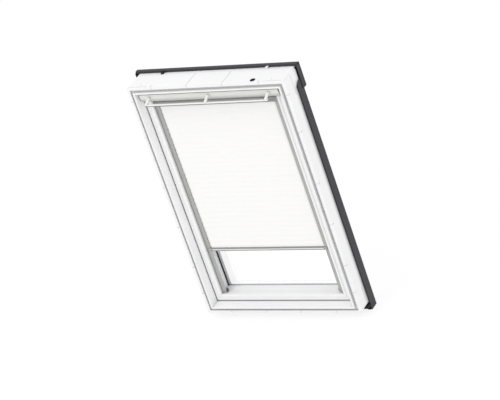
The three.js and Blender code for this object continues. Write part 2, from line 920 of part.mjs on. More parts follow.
function ventFlap() {
  const half = halfWidth - flapEnd;
  const skin = barAlongX(flapSection(), -half, half);
  const knuckles = lugPlaces(lugWidth).flatMap(
    (place) => hingeEye(place, lugWidth - 2 * slideFit, flapFootDepth),
  );
  const bore = hingeBore(hingeRodRadius + pivotRunningGap, frameWidth, 0);
  const lugRoom = lugPlaces(0).map(
    (place) => hingeBore(hingeRodRadius + lugWall + slideFit, lugWidth + 2 * slideFit, place),
  );
  return underTop(cut(join([skin, ...knuckles]), [bore, ...lugRoom]));
}

function hingeRod() {
  const half = Math.max(...lugPlaces(0)) + lugWidth;
  return underTop(hingeBore(hingeRodRadius, 2 * half, 0));
}

// A rounded rectangle with its middle at the origin.
function roundedRectangle(width, height, radius, steps = 3) {
  return roundedOutline([
    [-width / 2, -height / 2, radius],
    [width / 2, -height / 2, radius],
    [width / 2, height / 2, radius],
    [-width / 2, height / 2, radius],
  ], steps);
}

function barSection(grow) {
  return roundedRectangle(barWidth + grow, barThickness + grow, barRound).map(
    (point) => new THREE.Vector2(room + barDepth + point.x, barRise + point.y),
  );
}

function controlBar() {
  const half = barHalfLength - barCap - seat;
  return barAlongX(barSection(0), -half, half);
}

// A left-hand end cap of the bar.
function controlBarCap() {
  return barAlongX(barSection(seat), -barHalfLength, -barHalfLength + barCap);
}

// A bracket's arm in side view: it leaves the flap, curls forward and down and meets the bar's
// room side of its top.
function bracket(place) {
  const y0 = room + flapSurface(bracketRoot - bracketHeight / 2) - seat;
  const z0 = frameHeight - bracketRoot;
  const y1 = room + barDepth;
  const z1 = barRise + barThickness / 2 + seat;
  const outline = roundedOutline([
    [y0, z0 + bracketHeight / 2],
    [y0 - bracketCurl, z0 + bracketHeight / 2, bracketCurl],
    [y1 - barWidth / 3, z1 + bracketHeight, bracketCurl],
    [y1 - barWidth / 3, z1],
    [y1 + barWidth / 3, z1, bracketHeight / 3],
    [y0 - bracketCurl, z0 - bracketHeight / 2, bracketCurl],
    [y0, z0 - bracketHeight / 2 - bracketCurl / 2],
  ]);
  return barAlongX(outline, place - bracketWidth / 2, place + bracketWidth / 2);
}

function lockBolt() {
  const tip = frameInner - keepReach;
  const section = roundedOutline([
    [-boltWidth / 2, tip, boltWidth / 3],
    [boltWidth / 2, tip, boltWidth / 3],
    [boltWidth / 2, tip + boltLength],
    [-boltWidth / 2, tip + boltLength],
  ]);
  const geometry = new THREE.ExtrudeGeometry(new THREE.Shape(section), {
    depth: boltThickness, bevelEnabled: false,
  });
  geometry.rotateX(Math.PI / 2);
  geometry.translate(0, room + boltDepth + boltThickness / 2, 0);
  return underTop(geometry);
}

// Blind

// The headrail: a channel open below, with two grooves along its front.
function headrailSection() {
  const top = frameHeight - headrailTop;
  const foot = frameHeight - headrailFoot;
  const front = room + headrailDepth;
  const back = front + headrailThickness;
  const wall = railWall + headrailGrooveDepth;
  const grooveTop = top - headrailGroove;
  const lowGrooveTop = foot + 2 * headrailGroove;
  return roundedOutline([
    [front, top, railWall],
    [front, grooveTop],
    [front + headrailGrooveDepth, grooveTop],
    [front + headrailGrooveDepth, grooveTop - 2 * headrailGroove],
    [front, grooveTop - 2 * headrailGroove],
    [front, lowGrooveTop],
    [front + railWall, lowGrooveTop],
    [front + railWall, lowGrooveTop - headrailGroove / 2],
    [front, lowGrooveTop - headrailGroove / 2],
    [front, foot],
    [front + wall, foot],
    [front + wall, top - railWall - headrailGrooveDepth],
    [back - railWall, top - railWall - headrailGrooveDepth],
    [back - railWall, foot],
    [back, foot],
    [back, top, railWall],
  ], 2);
}

function headrail() {
  const half = sashClear - headrailCapWidth - seat;
  return barAlongX(headrailSection(), -half, half);
}

function headrailCap() {
  const outline = roundedOutline([
    [room + headrailDepth - seat, frameHeight - headrailTop + seat, railWall],
    [room + headrailDepth - seat, frameHeight - headrailFoot - seat],
    [room + headrailDepth + headrailThickness, frameHeight - headrailFoot - seat],
    [room + headrailDepth + headrailThickness, frameHeight - headrailTop + seat, railWall],
  ]);
  return barAlongX(outline, -sashClear, -sashClear + headrailCapWidth);
}

// The left rail's section: a channel open toward the cloth, with a ridge at its outer edge and
// a back flange shorter than the front one.
function railSection() {
  const outer = -halfWidth + railOuter;
  const inner = outer + railWidth;
  const front = room + railDepth;
  const back = front + railThickness;
  return roundedOutline([
    [outer, front + railWall / 2, railWall / 2],
    [outer + railRidge, front + railWall / 2],
    [outer + railRidge, front],
    [inner, front, railWall / 2],
    [inner, front + railWall],
    [outer + railRidge, front + railWall],
    [outer + railRidge, back - railWall],
    [outer + railBackFlange, back - railWall],
    [outer + railBackFlange, back, railWall / 2],
    [outer, back],
  ], 2);
}

function rail() {
  return barAlongZ(railSection(), footTop + seat, frameHeight - headrailFoot - 2 * seat);
}

// The rail's foot: an end piece that fills the channel's lower end and anchors the cord.
function railFoot() {
  const outer = -halfWidth + railOuter;
  return block(
    [outer, room + railDepth, sashInner + seat],
    [outer + railWidth, room + railDepth + railThickness, footTop],
  );
}

// The small dark clip on the foot's inner side.
function railClip() {
  const face = -halfWidth + railInner + seat;
  const middle = room + railDepth + railThickness / 2;
  const foot = sashInner + seat + clipRise;
  const outline = roundedOutline([
    [face, foot],
    [face + clipReach, foot, clipRound],
    [face + clipReach, foot + clipHeight, clipRound],
    [face, foot + clipHeight, clipRound / 2],
  ]);
  const geometry = new THREE.ExtrudeGeometry(new THREE.Shape(outline), {
    depth: clipThickness, bevelEnabled: false,
  });
  geometry.rotateX(Math.PI / 2);
  geometry.translate(0, middle + clipThickness / 2, 0);
  return geometry;
}

// The tension cord stands in the rail, from the foot to the headrail's cap.
function tensionCord() {
  const from = footTop + seat;
  const to = frameHeight - headrailFoot - 2 * seat;
  return rod('z', cordRadius, to - from,
    [-halfWidth + railOuter + cordInset, room + railDepth + railThickness / 2, (from + to) / 2], cordSides);
}

// The bottom bar between the rails, with a groove along its front.
function bottomBar() {
  const half = halfWidth - railInner - shoeBridge - shoeClearance - seat;
  const front = room + blindBarDepth;
  const back = front + blindBarThickness;
  const foot = barTopRise - blindBarHeight;
  const grooveTop = (barTopRise + foot) / 2 + blindBarGroove / 2;
  return barAlongX(roundedOutline([
    [front, barTopRise, blindBarGrooveDepth],
    [front, grooveTop],
    [front + blindBarGrooveDepth, grooveTop],
    [front + blindBarGrooveDepth, grooveTop - blindBarGroove],
    [front, grooveTop - blindBarGroove],
    [front, foot, blindBarGrooveDepth],
    [back, foot, blindBarGrooveDepth],
    [back, barTopRise, blindBarGrooveDepth],
  ], 2), -half, half);
}

// A left-hand end shoe: a tongue inside the rail, a plate in front of it and a bridge between,
// with a slot for the cord.
function endShoe() {
  const foot = barTopRise - blindBarHeight;
  const inner = -halfWidth + railInner;
  const front = room + railDepth;
  const back = front + railThickness;
  const tongue = block(
    [-halfWidth + railOuter + railRidge + shoeClearance, front + railWall + shoeClearance, foot],
    [inner + shoeClearance + shoeBridge, back - railWall - shoeClearance, barTopRise],
  );
  const bridge = block(
    [inner + shoeClearance, front - shoeClearance - shoePlate, foot],
    [inner + shoeClearance + shoeBridge, back - railWall - shoeClearance, barTopRise],
  );
  const plate = block(
    [inner - shoeLap, front - shoeClearance - shoePlate, foot],
    [inner + shoeClearance + shoeBridge, front - shoeClearance, barTopRise],
  );
  const middle = (front + back) / 2;
  const slot = block(
    [-halfWidth + railOuter, middle - cordSlot / 2, foot - overrun],
    [-halfWidth + railOuter + cordInset + cordSlot / 2, middle + cordSlot / 2, barTopRise + overrun],
  );
  return cut(join([tongue, bridge, plate]), [slot]);
}

// The honeycomb cloth: a chain of open cells, glued edge to edge, from the bottom bar up
// into the headrail. Its cells stand a pleat's pitch apart, shared out over the drop.
function honeycombCloth() {
  const low = barTopRise + seat;
  const high = frameHeight - headrailFoot + clothTopHidden;
  const count = Math.max(1, Math.round((high - low) / pleatPitch));
  const pitch = (high - low) / count;
  const middle = room + clothFrontDepth + clothThickness / 2;
  const reach = clothThickness / 2;
  const joint = clothJoint / 2;
  const face = pitch / 4;
  const half = halfWidth - railInner + clothEdgeInRail;
  // Half of one cell, from its lower joint to its upper one, on the side that hand says.
  const halfCell = (cell, hand, deep, tip, shorten) => {
    const centre = low + (cell + 1 / 2) * pitch;
    return [
      [middle + hand * tip, centre - pitch / 2 + shorten],
      [middle + hand * deep, centre - face],
      [middle + hand * deep, centre + face],
      [middle + hand * tip, centre + pitch / 2 - shorten],
    ].map(([y, z]) => new THREE.Vector2(y, z));
  };
  const roomSide = [];
  const glassSide = [];
  const cells = [];
  for (let cell = 0; cell < count; cell += 1) {
    // Neighbouring cells share the joint between them, so all but the last drop their upper point.
    const points = cell === count - 1 ? 4 : 3;
    roomSide.push(...halfCell(cell, -1, reach, joint, 0).slice(0, points));
    glassSide.push(...halfCell(cell, 1, reach, joint, 0).slice(0, points));
    const deep = reach - clothWall;
    cells.push(barAlongX([
      ...halfCell(cell, -1, deep, joint / 2, joint),
      ...halfCell(cell, 1, deep, joint / 2, joint).reverse(),
    ], -half - overrun, half + overrun));
  }
  return cut(barAlongX([...roomSide, ...glassSide.reverse()], -half, half), cells);
}

// Assembly

function buildFrame() {
  const frame = new THREE.Group();
  addMember(frame, 'frame_top', 'top', frameTop(), moulding);
  addMember(frame, 'frame_bottom', 'bottom', frameBottom(), moulding);
  addMember(frame, 'frame_left', 'left', frameSide(-1), moulding);
  addMember(frame, 'frame_right', 'right', frameSide(1), moulding);
  addMember(frame, 'lock_keep', 'top', lockKeep(), steel);
  addMesh(frame, 'frame_pivot_plate_left', framePivotPlate(), steel);
  addMesh(frame, 'frame_pivot_plate_right', mirrored(framePivotPlate()), steel);
  addMesh(frame, 'hood', hood(), cladding);
  const coverTop = frameHeight - hoodReturn + sideCoverLap;
  const pieces = {
    upper: cut(sideCover(pivotRise + seat, coverTop), [shoulderTool(coverTop)]),
    lower: sideCover(-sideCoverDrop, pivotRise - seat),
  };
  for (const [name, geometry] of Object.entries(pieces)) {
    addMesh(frame, `side_cover_${name}_left`, geometry, cladding);
    addMesh(frame, `side_cover_${name}_right`, mirrored(geometry), cladding);
  }
  addMesh(frame, 'cover_foot_left', coverFoot(), blackRubber);
  addMesh(frame, 'cover_foot_right', mirrored(coverFoot()), blackRubber);
  return frame;
}

function buildSash() {
  const sash = new THREE.Group();
  addMember(sash, 'sash_top', 'top', sashTop(), moulding);
  addMember(sash, 'sash_bottom', 'bottom', mitredMember(sashSection(), frameWidth), moulding);
  addMember(sash, 'sash_left', 'left', sashSide(-1), moulding);
  addMember(sash, 'sash_right', 'right', sashSide(1), moulding);
  addMesh(sash, 'sash_seal', sashSeal(), blackRubber);
  addMesh(sash, 'glazing_gasket', glazingGasket(), blackRubber);
  addMesh(sash, 'glass_inner', pane(innerPaneFront), clearGlass);
  addMesh(sash, 'glass_spacer', glassSpacer(), spacerGrey);
  addMesh(sash, 'glass_outer', pane(outerPaneFront), clearGlass);
  addMember(sash, 'sash_cover_top', 'top', sashCover(frameWidth, sashCoverReach), cladding);
  addMember(sash, 'sash_cover_bottom', 'bottom', sashCoverBottom(), cladding);
  addMember(sash, 'sash_cover_left', 'left', sashCover(frameHeight, sashCoverReach), cladding);
  addMember(sash, 'sash_cover_right', 'right', sashCover(frameHeight, sashCoverReach), cladding);
  addMesh(sash, 'pivot_pin_left', pivotPin(), steel);
  addMesh(sash, 'pivot_pin_right', mirrored(pivotPin()), steel);
  addMesh(sash, 'flap_hinge_rod', hingeRod(), steel);
  return sash;
}

function buildFlap() {
  const flap = new THREE.Group();
  addMesh(flap, 'vent_flap', ventFlap(), flapPaint);
  addMesh(flap, 'control_bar', controlBar(), whiteBar);
  addMesh(flap, 'control_bar_cap_left', controlBarCap(), whiteBar);
  addMesh(flap, 'control_bar_cap_right', mirrored(controlBarCap()), whiteBar);
  const outer = barHalfLength - barCap - bracketWidth / 2 - seat;
  addMesh(flap, 'bar_bracket_left', bracket(-outer), whiteBar);
  addMesh(flap, 'bar_bracket_centre', bracket(0), whiteBar);
  addMesh(flap, 'bar_bracket_right', bracket(outer), whiteBar);
  addMesh(flap, 'lock_bolt', lockBolt(), steel);
  return flap;
}

function buildBlind() {
  const blind = new THREE.Group();
  addMesh(blind, 'headrail', headrail(), greyRail);
  addMesh(blind, 'headrail_cap_left', headrailCap(), darkPlastic);
  addMesh(blind, 'headrail_cap_right', mirrored(headrailCap()), darkPlastic);
  addMesh(blind, 'rail_left', rail(), greyRail);
  addMesh(blind, 'rail_right', mirrored(rail()), greyRail);
  addMesh(blind, 'rail_foot_left', railFoot(), greyRail);
  addMesh(blind, 'rail_foot_right', mirrored(railFoot()), greyRail);
  addMesh(blind, 'rail_clip_left', railClip(), darkPlastic);
  addMesh(blind, 'rail_clip_right', mirrored(railClip()), darkPlastic);
  addMesh(blind, 'tension_cord_left', tensionCord(), cordWhite);
  addMesh(blind, 'tension_cord_right', mirrored(tensionCord()), cordWhite);
  addMesh(blind, 'honeycomb_cloth', honeycombCloth(), clothWhite);
  addMesh(blind, 'bottom_bar', bottomBar(), greyRail);
  addMesh(blind, 'end_shoe_left', endShoe(), darkPlastic);
  addMesh(blind, 'end_shoe_right', mirrored(endShoe()), darkPlastic);
  return blind;
}

const roofWindow = new THREE.Group();
roofWindow.add(buildFrame(), buildSash(), buildFlap(), buildBlind());

export default roofWindow;
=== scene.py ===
# %% [markdown]
# # A roof window and its pleated blind
#
# The window hangs in a sloping roof and turns about its middle. A honeycomb cloth runs between two
# rails inside the sash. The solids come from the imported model. This lesson gives them their
# finishes, and makes the pieces that a solid is too plain for: the cloth, its cords, the screws
# and the small fittings.

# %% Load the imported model
import math

import bmesh
import bpy
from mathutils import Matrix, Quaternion, Vector


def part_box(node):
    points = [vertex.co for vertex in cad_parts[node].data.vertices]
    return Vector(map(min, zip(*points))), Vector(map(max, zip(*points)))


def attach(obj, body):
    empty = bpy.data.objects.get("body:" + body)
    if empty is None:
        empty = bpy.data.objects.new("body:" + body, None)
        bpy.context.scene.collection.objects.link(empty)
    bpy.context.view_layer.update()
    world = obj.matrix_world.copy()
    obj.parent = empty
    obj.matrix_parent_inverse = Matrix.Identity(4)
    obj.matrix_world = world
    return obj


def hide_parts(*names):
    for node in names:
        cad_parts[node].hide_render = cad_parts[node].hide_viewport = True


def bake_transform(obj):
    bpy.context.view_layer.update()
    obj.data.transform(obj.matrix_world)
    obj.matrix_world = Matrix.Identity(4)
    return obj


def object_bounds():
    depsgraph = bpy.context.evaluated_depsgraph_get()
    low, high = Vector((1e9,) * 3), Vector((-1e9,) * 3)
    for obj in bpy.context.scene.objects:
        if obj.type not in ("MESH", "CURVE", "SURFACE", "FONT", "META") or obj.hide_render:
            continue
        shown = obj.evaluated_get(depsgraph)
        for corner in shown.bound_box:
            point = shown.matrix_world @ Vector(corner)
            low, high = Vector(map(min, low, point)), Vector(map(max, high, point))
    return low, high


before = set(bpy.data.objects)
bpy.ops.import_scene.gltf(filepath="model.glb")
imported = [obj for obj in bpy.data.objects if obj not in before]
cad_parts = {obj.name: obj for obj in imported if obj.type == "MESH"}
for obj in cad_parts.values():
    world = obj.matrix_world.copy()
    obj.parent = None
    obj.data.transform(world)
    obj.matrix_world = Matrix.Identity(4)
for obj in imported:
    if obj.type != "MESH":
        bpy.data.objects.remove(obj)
cad_low, cad_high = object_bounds()
MM = 0.001
SIDES = ((-1, "left"), (1, "right"))
print("solids:", len(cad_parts), "box:", tuple(cad_low), tuple(cad_high))

# %% [markdown]
# ## The camera
#
# The picture was taken with a long lens, from the room's side, above and to the right. The window
# leans in the picture, and the part stands upright, so the camera is rolled instead. A camera can
# be turned with a constraint or with angles. Here it is turned to face a point, and then rolled
# about its own line of sight, which are the two things that a photographer does.

# %% Camera
CAMERA_PLACE = Vector((6.20766, -8.83102, 6.22800))
CAMERA_TARGET = Vector((0.02833, -0.05500, 0.59540))
CAMERA_ROLL = math.radians(19.4375)
CAMERA_LENS = 203.357
FILM_WIDTH = 36
SIGHT_END = 200


def make_camera():
    camera = bpy.data.objects.new("camera", bpy.data.cameras.new("camera"))
    bpy.context.scene.collection.objects.link(camera)
    camera.data.sensor_width = FILM_WIDTH
    camera.data.lens = CAMERA_LENS
    camera.data.clip_end = SIGHT_END
    sight = (CAMERA_TARGET - CAMERA_PLACE).to_track_quat("-Z", "Y")
    camera.rotation_mode = "QUATERNION"
    camera.rotation_quaternion = sight @ Quaternion((0, 0, 1), -CAMERA_ROLL)
    camera.location = CAMERA_PLACE
    bpy.context.scene.camera = camera


make_camera()
print("camera stands", round((CAMERA_PLACE - CAMERA_TARGET).length, 2), "m away")

# %% [markdown]
# ## Writing node maths as sums
#
# A material is a graph of nodes. Its maths is easier to read as a sum than as a list of links, so
# a small class wraps a socket, and each operator adds the Math node that does its work. Every
# other node comes from one function, which makes its settings first and its sockets after,
# because some settings change which sockets there are.

# %% Nodes and sums


class Value:
    def __init__(self, tree, socket):
        self.tree = tree
        self.socket = socket

    def math(self, operation, other=0.0):
        return add_node(self.tree, "ShaderNodeMath", {"operation": operation}, {0: self, 1: other})

    def __add__(self, other):
        return self.math("ADD", other)

    def __sub__(self, other):
        return self.math("SUBTRACT", other)

    def __rsub__(self, first):
        return add_node(self.tree, "ShaderNodeMath", {"operation": "SUBTRACT"}, {0: first, 1: self})

    def __mul__(self, other):
        return self.math("MULTIPLY", other)

    def __pow__(self, other):
        return self.math("POWER", other)

    def fade(self, start, end):
        """0 at the start, 1 at the end, held outside them."""
        return ((self - start) * (1 / (end - start))).held()

    def held(self):
        """The value held between 0 and 1."""
        return self.math("MAXIMUM", 0.0).math("MINIMUM", 1.0)

    __radd__ = __add__
    __rmul__ = __mul__


def add_node(tree, kind, settings, sockets, output=0):
    """Adds a node to a tree. Its sockets take numbers, colours or the values of other nodes."""
    node = tree.nodes.new(kind)
    for name, value in settings.items():
        setattr(node, name, value)
    for name, value in sockets.items():
        if isinstance(value, Value):
            tree.links.new(value.socket, node.inputs[name])
        else:
            node.inputs[name].default_value = value
    return Value(tree, node.outputs[output])


# %% [markdown]
# ## A material as a small workshop
#
# Every finish here starts from one Principled shader. `Finish` keeps its tree and hands out the
# coordinates and noises that patterns are drawn with. A number that is the same all over goes
# straight into the shader's own socket.

# %% Workshop for finishes
SHADE_SAMPLES = 8


def paint(red, green, blue):
    """A colour as a screen shows it, 0 to 255, as the light that a shader works in."""
    def light(level):
        share = level / 255
        return share / 12.92 if share <= 0.04045 else ((share + 0.055) / 1.055) ** 2.4
    return (light(red), light(green), light(blue), 1)


class Finish:
    def __init__(self, name, **fixed):
        self.material = bpy.data.materials.new(name)
        self.material.use_nodes = True
        self.tree = self.material.node_tree
        self.shader = self.tree.nodes["Principled BSDF"]
        for socket, value in fixed.items():
            self.shader.inputs[socket.replace("_", " ")].default_value = value

    def node(self, kind, settings, sockets, output=0):
        return add_node(self.tree, kind, settings, sockets, output)

    def place(self, size, stretch, uv=False):
        """Coordinates in lumps of size metres, stretched along an axis where its share is small."""
        if uv:
            source = self.node("ShaderNodeUVMap", {"uv_map": "UVMap"}, {})
        else:
            source = self.node("ShaderNodeTexCoord", {}, {}, "Object")
        return self.node("ShaderNodeMapping", {},
                         {"Vector": source, "Scale": [share / size for share in stretch]})

    def along(self, axis):
        """How far this point lies along the object's X, Y or Z, in metres."""
        where = self.node("ShaderNodeTexCoord", {}, {}, "Object")
        return self.node("ShaderNodeSeparateXYZ", {}, {0: where}, axis)

    def noise(self, size, stretch=(1, 1, 1), detail=2.0, uv=False):
        return self.node("ShaderNodeTexNoise", {},
                         {"Vector": self.place(size, stretch, uv), "Scale": 1.0, "Detail": detail})

    def grains(self, size):
        return self.node("ShaderNodeTexVoronoi", {},
                         {"Vector": self.place(size, (1, 1, 1)), "Scale": 1.0}, "Distance")

    def mixed(self, share, low, high):
        # A Mix node has a set of sockets for each kind of data. Those for colours are 6, 7 and 2.
        return self.node("ShaderNodeMix", {"data_type": "RGBA"}, {0: share, 6: low, 7: high}, 2)

    def give(self, socket, value):
        self.tree.links.new(value.socket, self.shader.inputs[socket])

    def painted_shade(self, colour, dark, reach, power=2.0):
        """The colour with painted shade, turning to a dark one where walls stand closer than reach
        metres.
        """
        settings = {"samples": SHADE_SAMPLES}
        open_share = self.node("ShaderNodeAmbientOcclusion", settings, {"Distance": reach}, "AO")
        return self.mixed((1.0 - open_share) ** power, colour, dark)

    def relief(self, height, depth):
        """Lets a height from 0 to 1 stand depth metres proud."""
        self.give("Normal", self.node("ShaderNodeBump", {}, {"Height": height, "Distance": depth}))


finishes = {}


def keep(short_name, material):
    finishes[short_name] = material
    print(f"finish {short_name}: {len(material.node_tree.nodes)} nodes")


# %% [markdown]
# ### Moulded white
#
# The frame and the sash are foam moulded round timber, with a satin skin. Its faint orange-peel
# comes from a fine noise, and a broad one keeps large faces from looking like paper. Two painted
# shades darken the colour where a wall stands close: a broad weak one in the reveals, and a narrow
# one in the gaps. Beside the dark side covers the photo's white fades to a soft grey. That grey is
# painted shade of the covers, painted by place, so that it follows the covers' edge and ends under
# the hood.

# %% Moulded white
SKIN_CLOUD, SKIN_WAVES, SKIN_PEEL = 160 * MM, 20 * MM, 1.6 * MM
SKIN_LOW, SKIN_HIGH = paint(244, 244, 245), paint(250, 250, 250)
SKIN_DEPTH = 0.06 * MM
# Painted shade: a broad weak one in the reveals and a narrow one in the gaps.
REVEAL_PAINTED_SHADE, REVEAL_REACH = paint(208, 208, 210), 45 * MM
GAP_PAINTED_SHADE, GAP_REACH = paint(166, 166, 168), 12 * MM
# Painted shade of the side covers on the frame's outer sides.
COVER_SHADE_GREY = paint(132, 132, 134)
COVER_SHADE_X = 0.3895
COVER_SHADE_EDGE = 1 * MM
COVER_SHADE_FADE = (-0.002, 0.024)
COVER_SHADE_TOP = (1.113, 1.1)


def cover_shade(finish):
    """Painted shade of a side cover: 1 on the outer sides right beside it, and 0 a little in front of
    it.
    """
    outside = finish.along("X").math("ABSOLUTE").fade(COVER_SHADE_X - COVER_SHADE_EDGE, COVER_SHADE_X)
    below_hood = finish.along("Z").fade(*COVER_SHADE_TOP)
    return outside * below_hood * finish.along("Y").fade(*COVER_SHADE_FADE) ** 1.5


def moulded_white():
    finish = Finish("white_moulding", Specular_IOR_Level=0.5, Coat_Weight=0.12, Coat_Roughness=0.25)
    cloud = finish.noise(SKIN_CLOUD)
    peel = finish.noise(SKIN_PEEL, detail=1.0)
    clean = finish.mixed(cloud, SKIN_LOW, SKIN_HIGH)
    # Painted shade beside the side covers, then in the reveals and the gaps.
    clean = finish.mixed(cover_shade(finish), clean, COVER_SHADE_GREY)
    broadly = finish.painted_shade(clean, REVEAL_PAINTED_SHADE, REVEAL_REACH, power=1.5)
    finish.give("Base Color", finish.painted_shade(broadly, GAP_PAINTED_SHADE, GAP_REACH))
    finish.give("Roughness", 0.3 + cloud * 0.12 + peel * 0.06)
    finish.relief(peel * 0.6 + finish.noise(SKIN_WAVES) * 0.4, SKIN_DEPTH)
    return finish.material


keep("white", moulded_white())

# %% [markdown]
# ### Powder-coated sheet
#
# The covers outside are folded aluminium with a dark powder coat. Powder melts into tiny even
# hills, and dust dulls it in patches.

# %% Powder coat
POWDER_LOW, POWDER_HIGH, POWDER_FLECK = paint(50, 49, 53), paint(60, 59, 63), paint(73, 72, 76)
DUST_SIZE, HILL_SIZE, FLECK_SIZE = 70 * MM, 0.9 * MM, 2.4 * MM
HILL_DEPTH = 0.08 * MM


def powder_coat():
    finish = Finish("dark_powder_coat", Specular_IOR_Level=0.2)
    dust = finish.noise(DUST_SIZE, detail=4.0)
    hills = finish.noise(HILL_SIZE, detail=1.0)
    flecks = finish.grains(FLECK_SIZE)
    coat = finish.mixed(dust, POWDER_LOW, POWDER_HIGH)
    finish.give("Base Color", finish.mixed((flecks * 1.4).held(), POWDER_FLECK, coat))
    finish.give("Roughness", 0.4 + dust * 0.18)
    finish.relief(hills, HILL_DEPTH)
    return finish.material


keep("cladding", powder_coat())

# %% [markdown]
# ### Rubber
#
# The seals, the glass unit's gasket and the covers' feet are black rubber. It hardly shines, and
# a pale bloom comes out of it in patches. One broad noise moves both the colour and the gloss, as
# the bloom does.

# %% Rubber
RUBBER_LOW, RUBBER_HIGH = paint(16, 16, 17), paint(34, 34, 36)
BLOOM_SIZE, PORE_SIZE, PORE_DEPTH = 30 * MM, 0.7 * MM, 0.05 * MM


def rubber():
    finish = Finish("black_rubber", Specular_IOR_Level=0.3)
    bloom = finish.noise(BLOOM_SIZE, detail=3.0)
    finish.give("Base Color", finish.mixed(bloom, RUBBER_LOW, RUBBER_HIGH))
    finish.give("Roughness", 0.68 + bloom * 0.2)
    finish.relief(finish.noise(PORE_SIZE), PORE_DEPTH)
    return finish.material


keep("rubber", rubber())

# %% [markdown]
# ### Rails and bars
#
# The blind's profiles are drawn aluminium, so their fine lines run along their length. The noise
# is stretched along that axis: up the window for rails and across it for bars. The flap and the
# bar that opens it are enamelled, and painted shade makes them darker underneath, where only the
# floor's light reaches. Every profile also gets painted shade where a wall stands close.

# %% Drawn profiles
LINE_SIZE, LINE_STRETCH, LINE_DEPTH = 1.1 * MM, 0.012, 0.03 * MM
ANODISED_CLOUD = 90 * MM
# Painted shade of the profiles where a wall stands close.
PROFILE_PAINTED_SHADE, PROFILE_REACH = paint(78, 78, 77), 20 * MM
ACROSS_WINDOW, UP_WINDOW = 0, 2


def drawn_profile(name, axis, low, high, metallic, roughness, under_shade=None):
    finish = Finish(name, Metallic=metallic, Specular_IOR_Level=0.5)
    stretch = [LINE_STRETCH if place == axis else 1 for place in range(3)]
    lines = finish.noise(LINE_SIZE, stretch, detail=3.0)
    cloud = finish.noise(ANODISED_CLOUD)
    clean = finish.mixed(lines * 0.5 + cloud * 0.5, low, high)
    if under_shade:
        colour, start, end = under_shade
        # Painted shade underneath: the dark colour below start, fading to the clean one at end.
        clean = finish.mixed(finish.along("Z").fade(start, end), colour, clean)
    finish.give("Base Color", finish.painted_shade(clean, PROFILE_PAINTED_SHADE, PROFILE_REACH))
    finish.give("Roughness", roughness + lines * 0.14)
    finish.relief(lines, LINE_DEPTH)
    return finish.material


# %% Colours of the profiles
RAIL = (paint(166, 167, 163), paint(188, 189, 185))
BLIND_BAR = (paint(138, 139, 137), paint(162, 163, 161))
HEADRAIL = (paint(160, 161, 159), paint(178, 179, 177))
ENAMEL = (paint(240, 241, 237), paint(249, 249, 246))
FLAP = (paint(224, 225, 220), paint(236, 237, 232))
SPACER = (paint(176, 177, 182), paint(206, 207, 212))
# Painted shade on the undersides of the flap and the control bar.
FLAP_UNDER_SHADE = (paint(176, 177, 172), 1.098, 1.118)
GRIP_UNDER_SHADE = (paint(84, 85, 84), 1.1025, 1.1045)

keep("rail", drawn_profile("rail_grey", UP_WINDOW, *RAIL, 0.35, 0.34))
keep("blind_bar", drawn_profile("blind_bar_grey", ACROSS_WINDOW, *BLIND_BAR, 0.35, 0.32))
keep("headrail", drawn_profile("headrail_grey", ACROSS_WINDOW, *HEADRAIL, 0.35, 0.4))
keep("flap", drawn_profile("flap_enamel", ACROSS_WINDOW, *FLAP, 0.1, 0.36, under_shade=FLAP_UNDER_SHADE))
keep("bar", drawn_profile("bar_enamel", ACROSS_WINDOW, *ENAMEL, 0.0, 0.3))
keep("grip", drawn_profile("grip_enamel", ACROSS_WINDOW, *ENAMEL, 0.0, 0.3, under_shade=GRIP_UNDER_SHADE))
keep("spacer", drawn_profile("spacer_aluminium", UP_WINDOW, *SPACER, 0.5, 0.4))

# %% [markdown]
# ### Steel
#
# The lock, its keep, the pivots and the screws are zinc-plated steel. Zinc sets in small crystals
# that each mirror a little differently. The cells of a Voronoi texture have that look, and need
# no picture.

# %% Zinc-plated steel
ZINC_LOW, ZINC_HIGH = paint(150, 152, 156), paint(196, 198, 201)
CRYSTAL_SIZE, SCRATCH_SIZE, SCRATCH_DEPTH = 3.5 * MM, 1.2 * MM, 0.04 * MM


def zinc_steel():
    finish = Finish("zinc_steel", Metallic=1.0)
    crystals = finish.grains(CRYSTAL_SIZE)
    finish.give("Base Color", finish.mixed((crystals * 1.3).held(), ZINC_LOW, ZINC_HIGH))
    finish.give("Roughness", 0.28 + crystals * 0.22)
    finish.relief(finish.noise(SCRATCH_SIZE, (1, 1, 0.1)), SCRATCH_DEPTH)
    return finish.material


keep("steel", zinc_steel())

# %% [markdown]
# ### Plastic clips
#
# Clips and caps are moulded in tools with an etched face, which leaves a fine even grain. A small
# noise serves for both the grain's relief and its gloss.

# %% Grained plastic
GRAIN_SIZE, GRAIN_DEPTH, PLASTIC_CLOUD = 0.6 * MM, 0.06 * MM, 20 * MM


def grained_plastic(name, low, high):
    finish = Finish(name, Specular_IOR_Level=0.4)
    grain = finish.noise(GRAIN_SIZE)
    finish.give("Base Color", finish.mixed(finish.noise(PLASTIC_CLOUD), low, high))
    finish.give("Roughness", 0.5 + grain * 0.2)
    finish.relief(grain, GRAIN_DEPTH)
    return finish.material


keep("plastic", grained_plastic("dark_grained_plastic", paint(74, 75, 76), paint(96, 97, 98)))
keep("cap", grained_plastic("white_grained_plastic", paint(236, 237, 233), paint(247, 247, 244)))

# %% [markdown]
# ### Glass
#
# The two panes are clear float glass. A pane that is perfectly clean looks like nothing at all, so
# a broad noise leaves a trace of dullness, as if it had been wiped by hand.

# %% Clear glass
WIPE_SIZE = 120 * MM


def clear_glass():
    finish = Finish("clear_glass", Transmission_Weight=1.0, IOR=1.5, Base_Color=(1, 1, 1, 1))
    finish.give("Roughness", (finish.noise(WIPE_SIZE, detail=3.0) - 0.55).held() * 0.05)
    return finish.material


keep("glass", clear_glass())

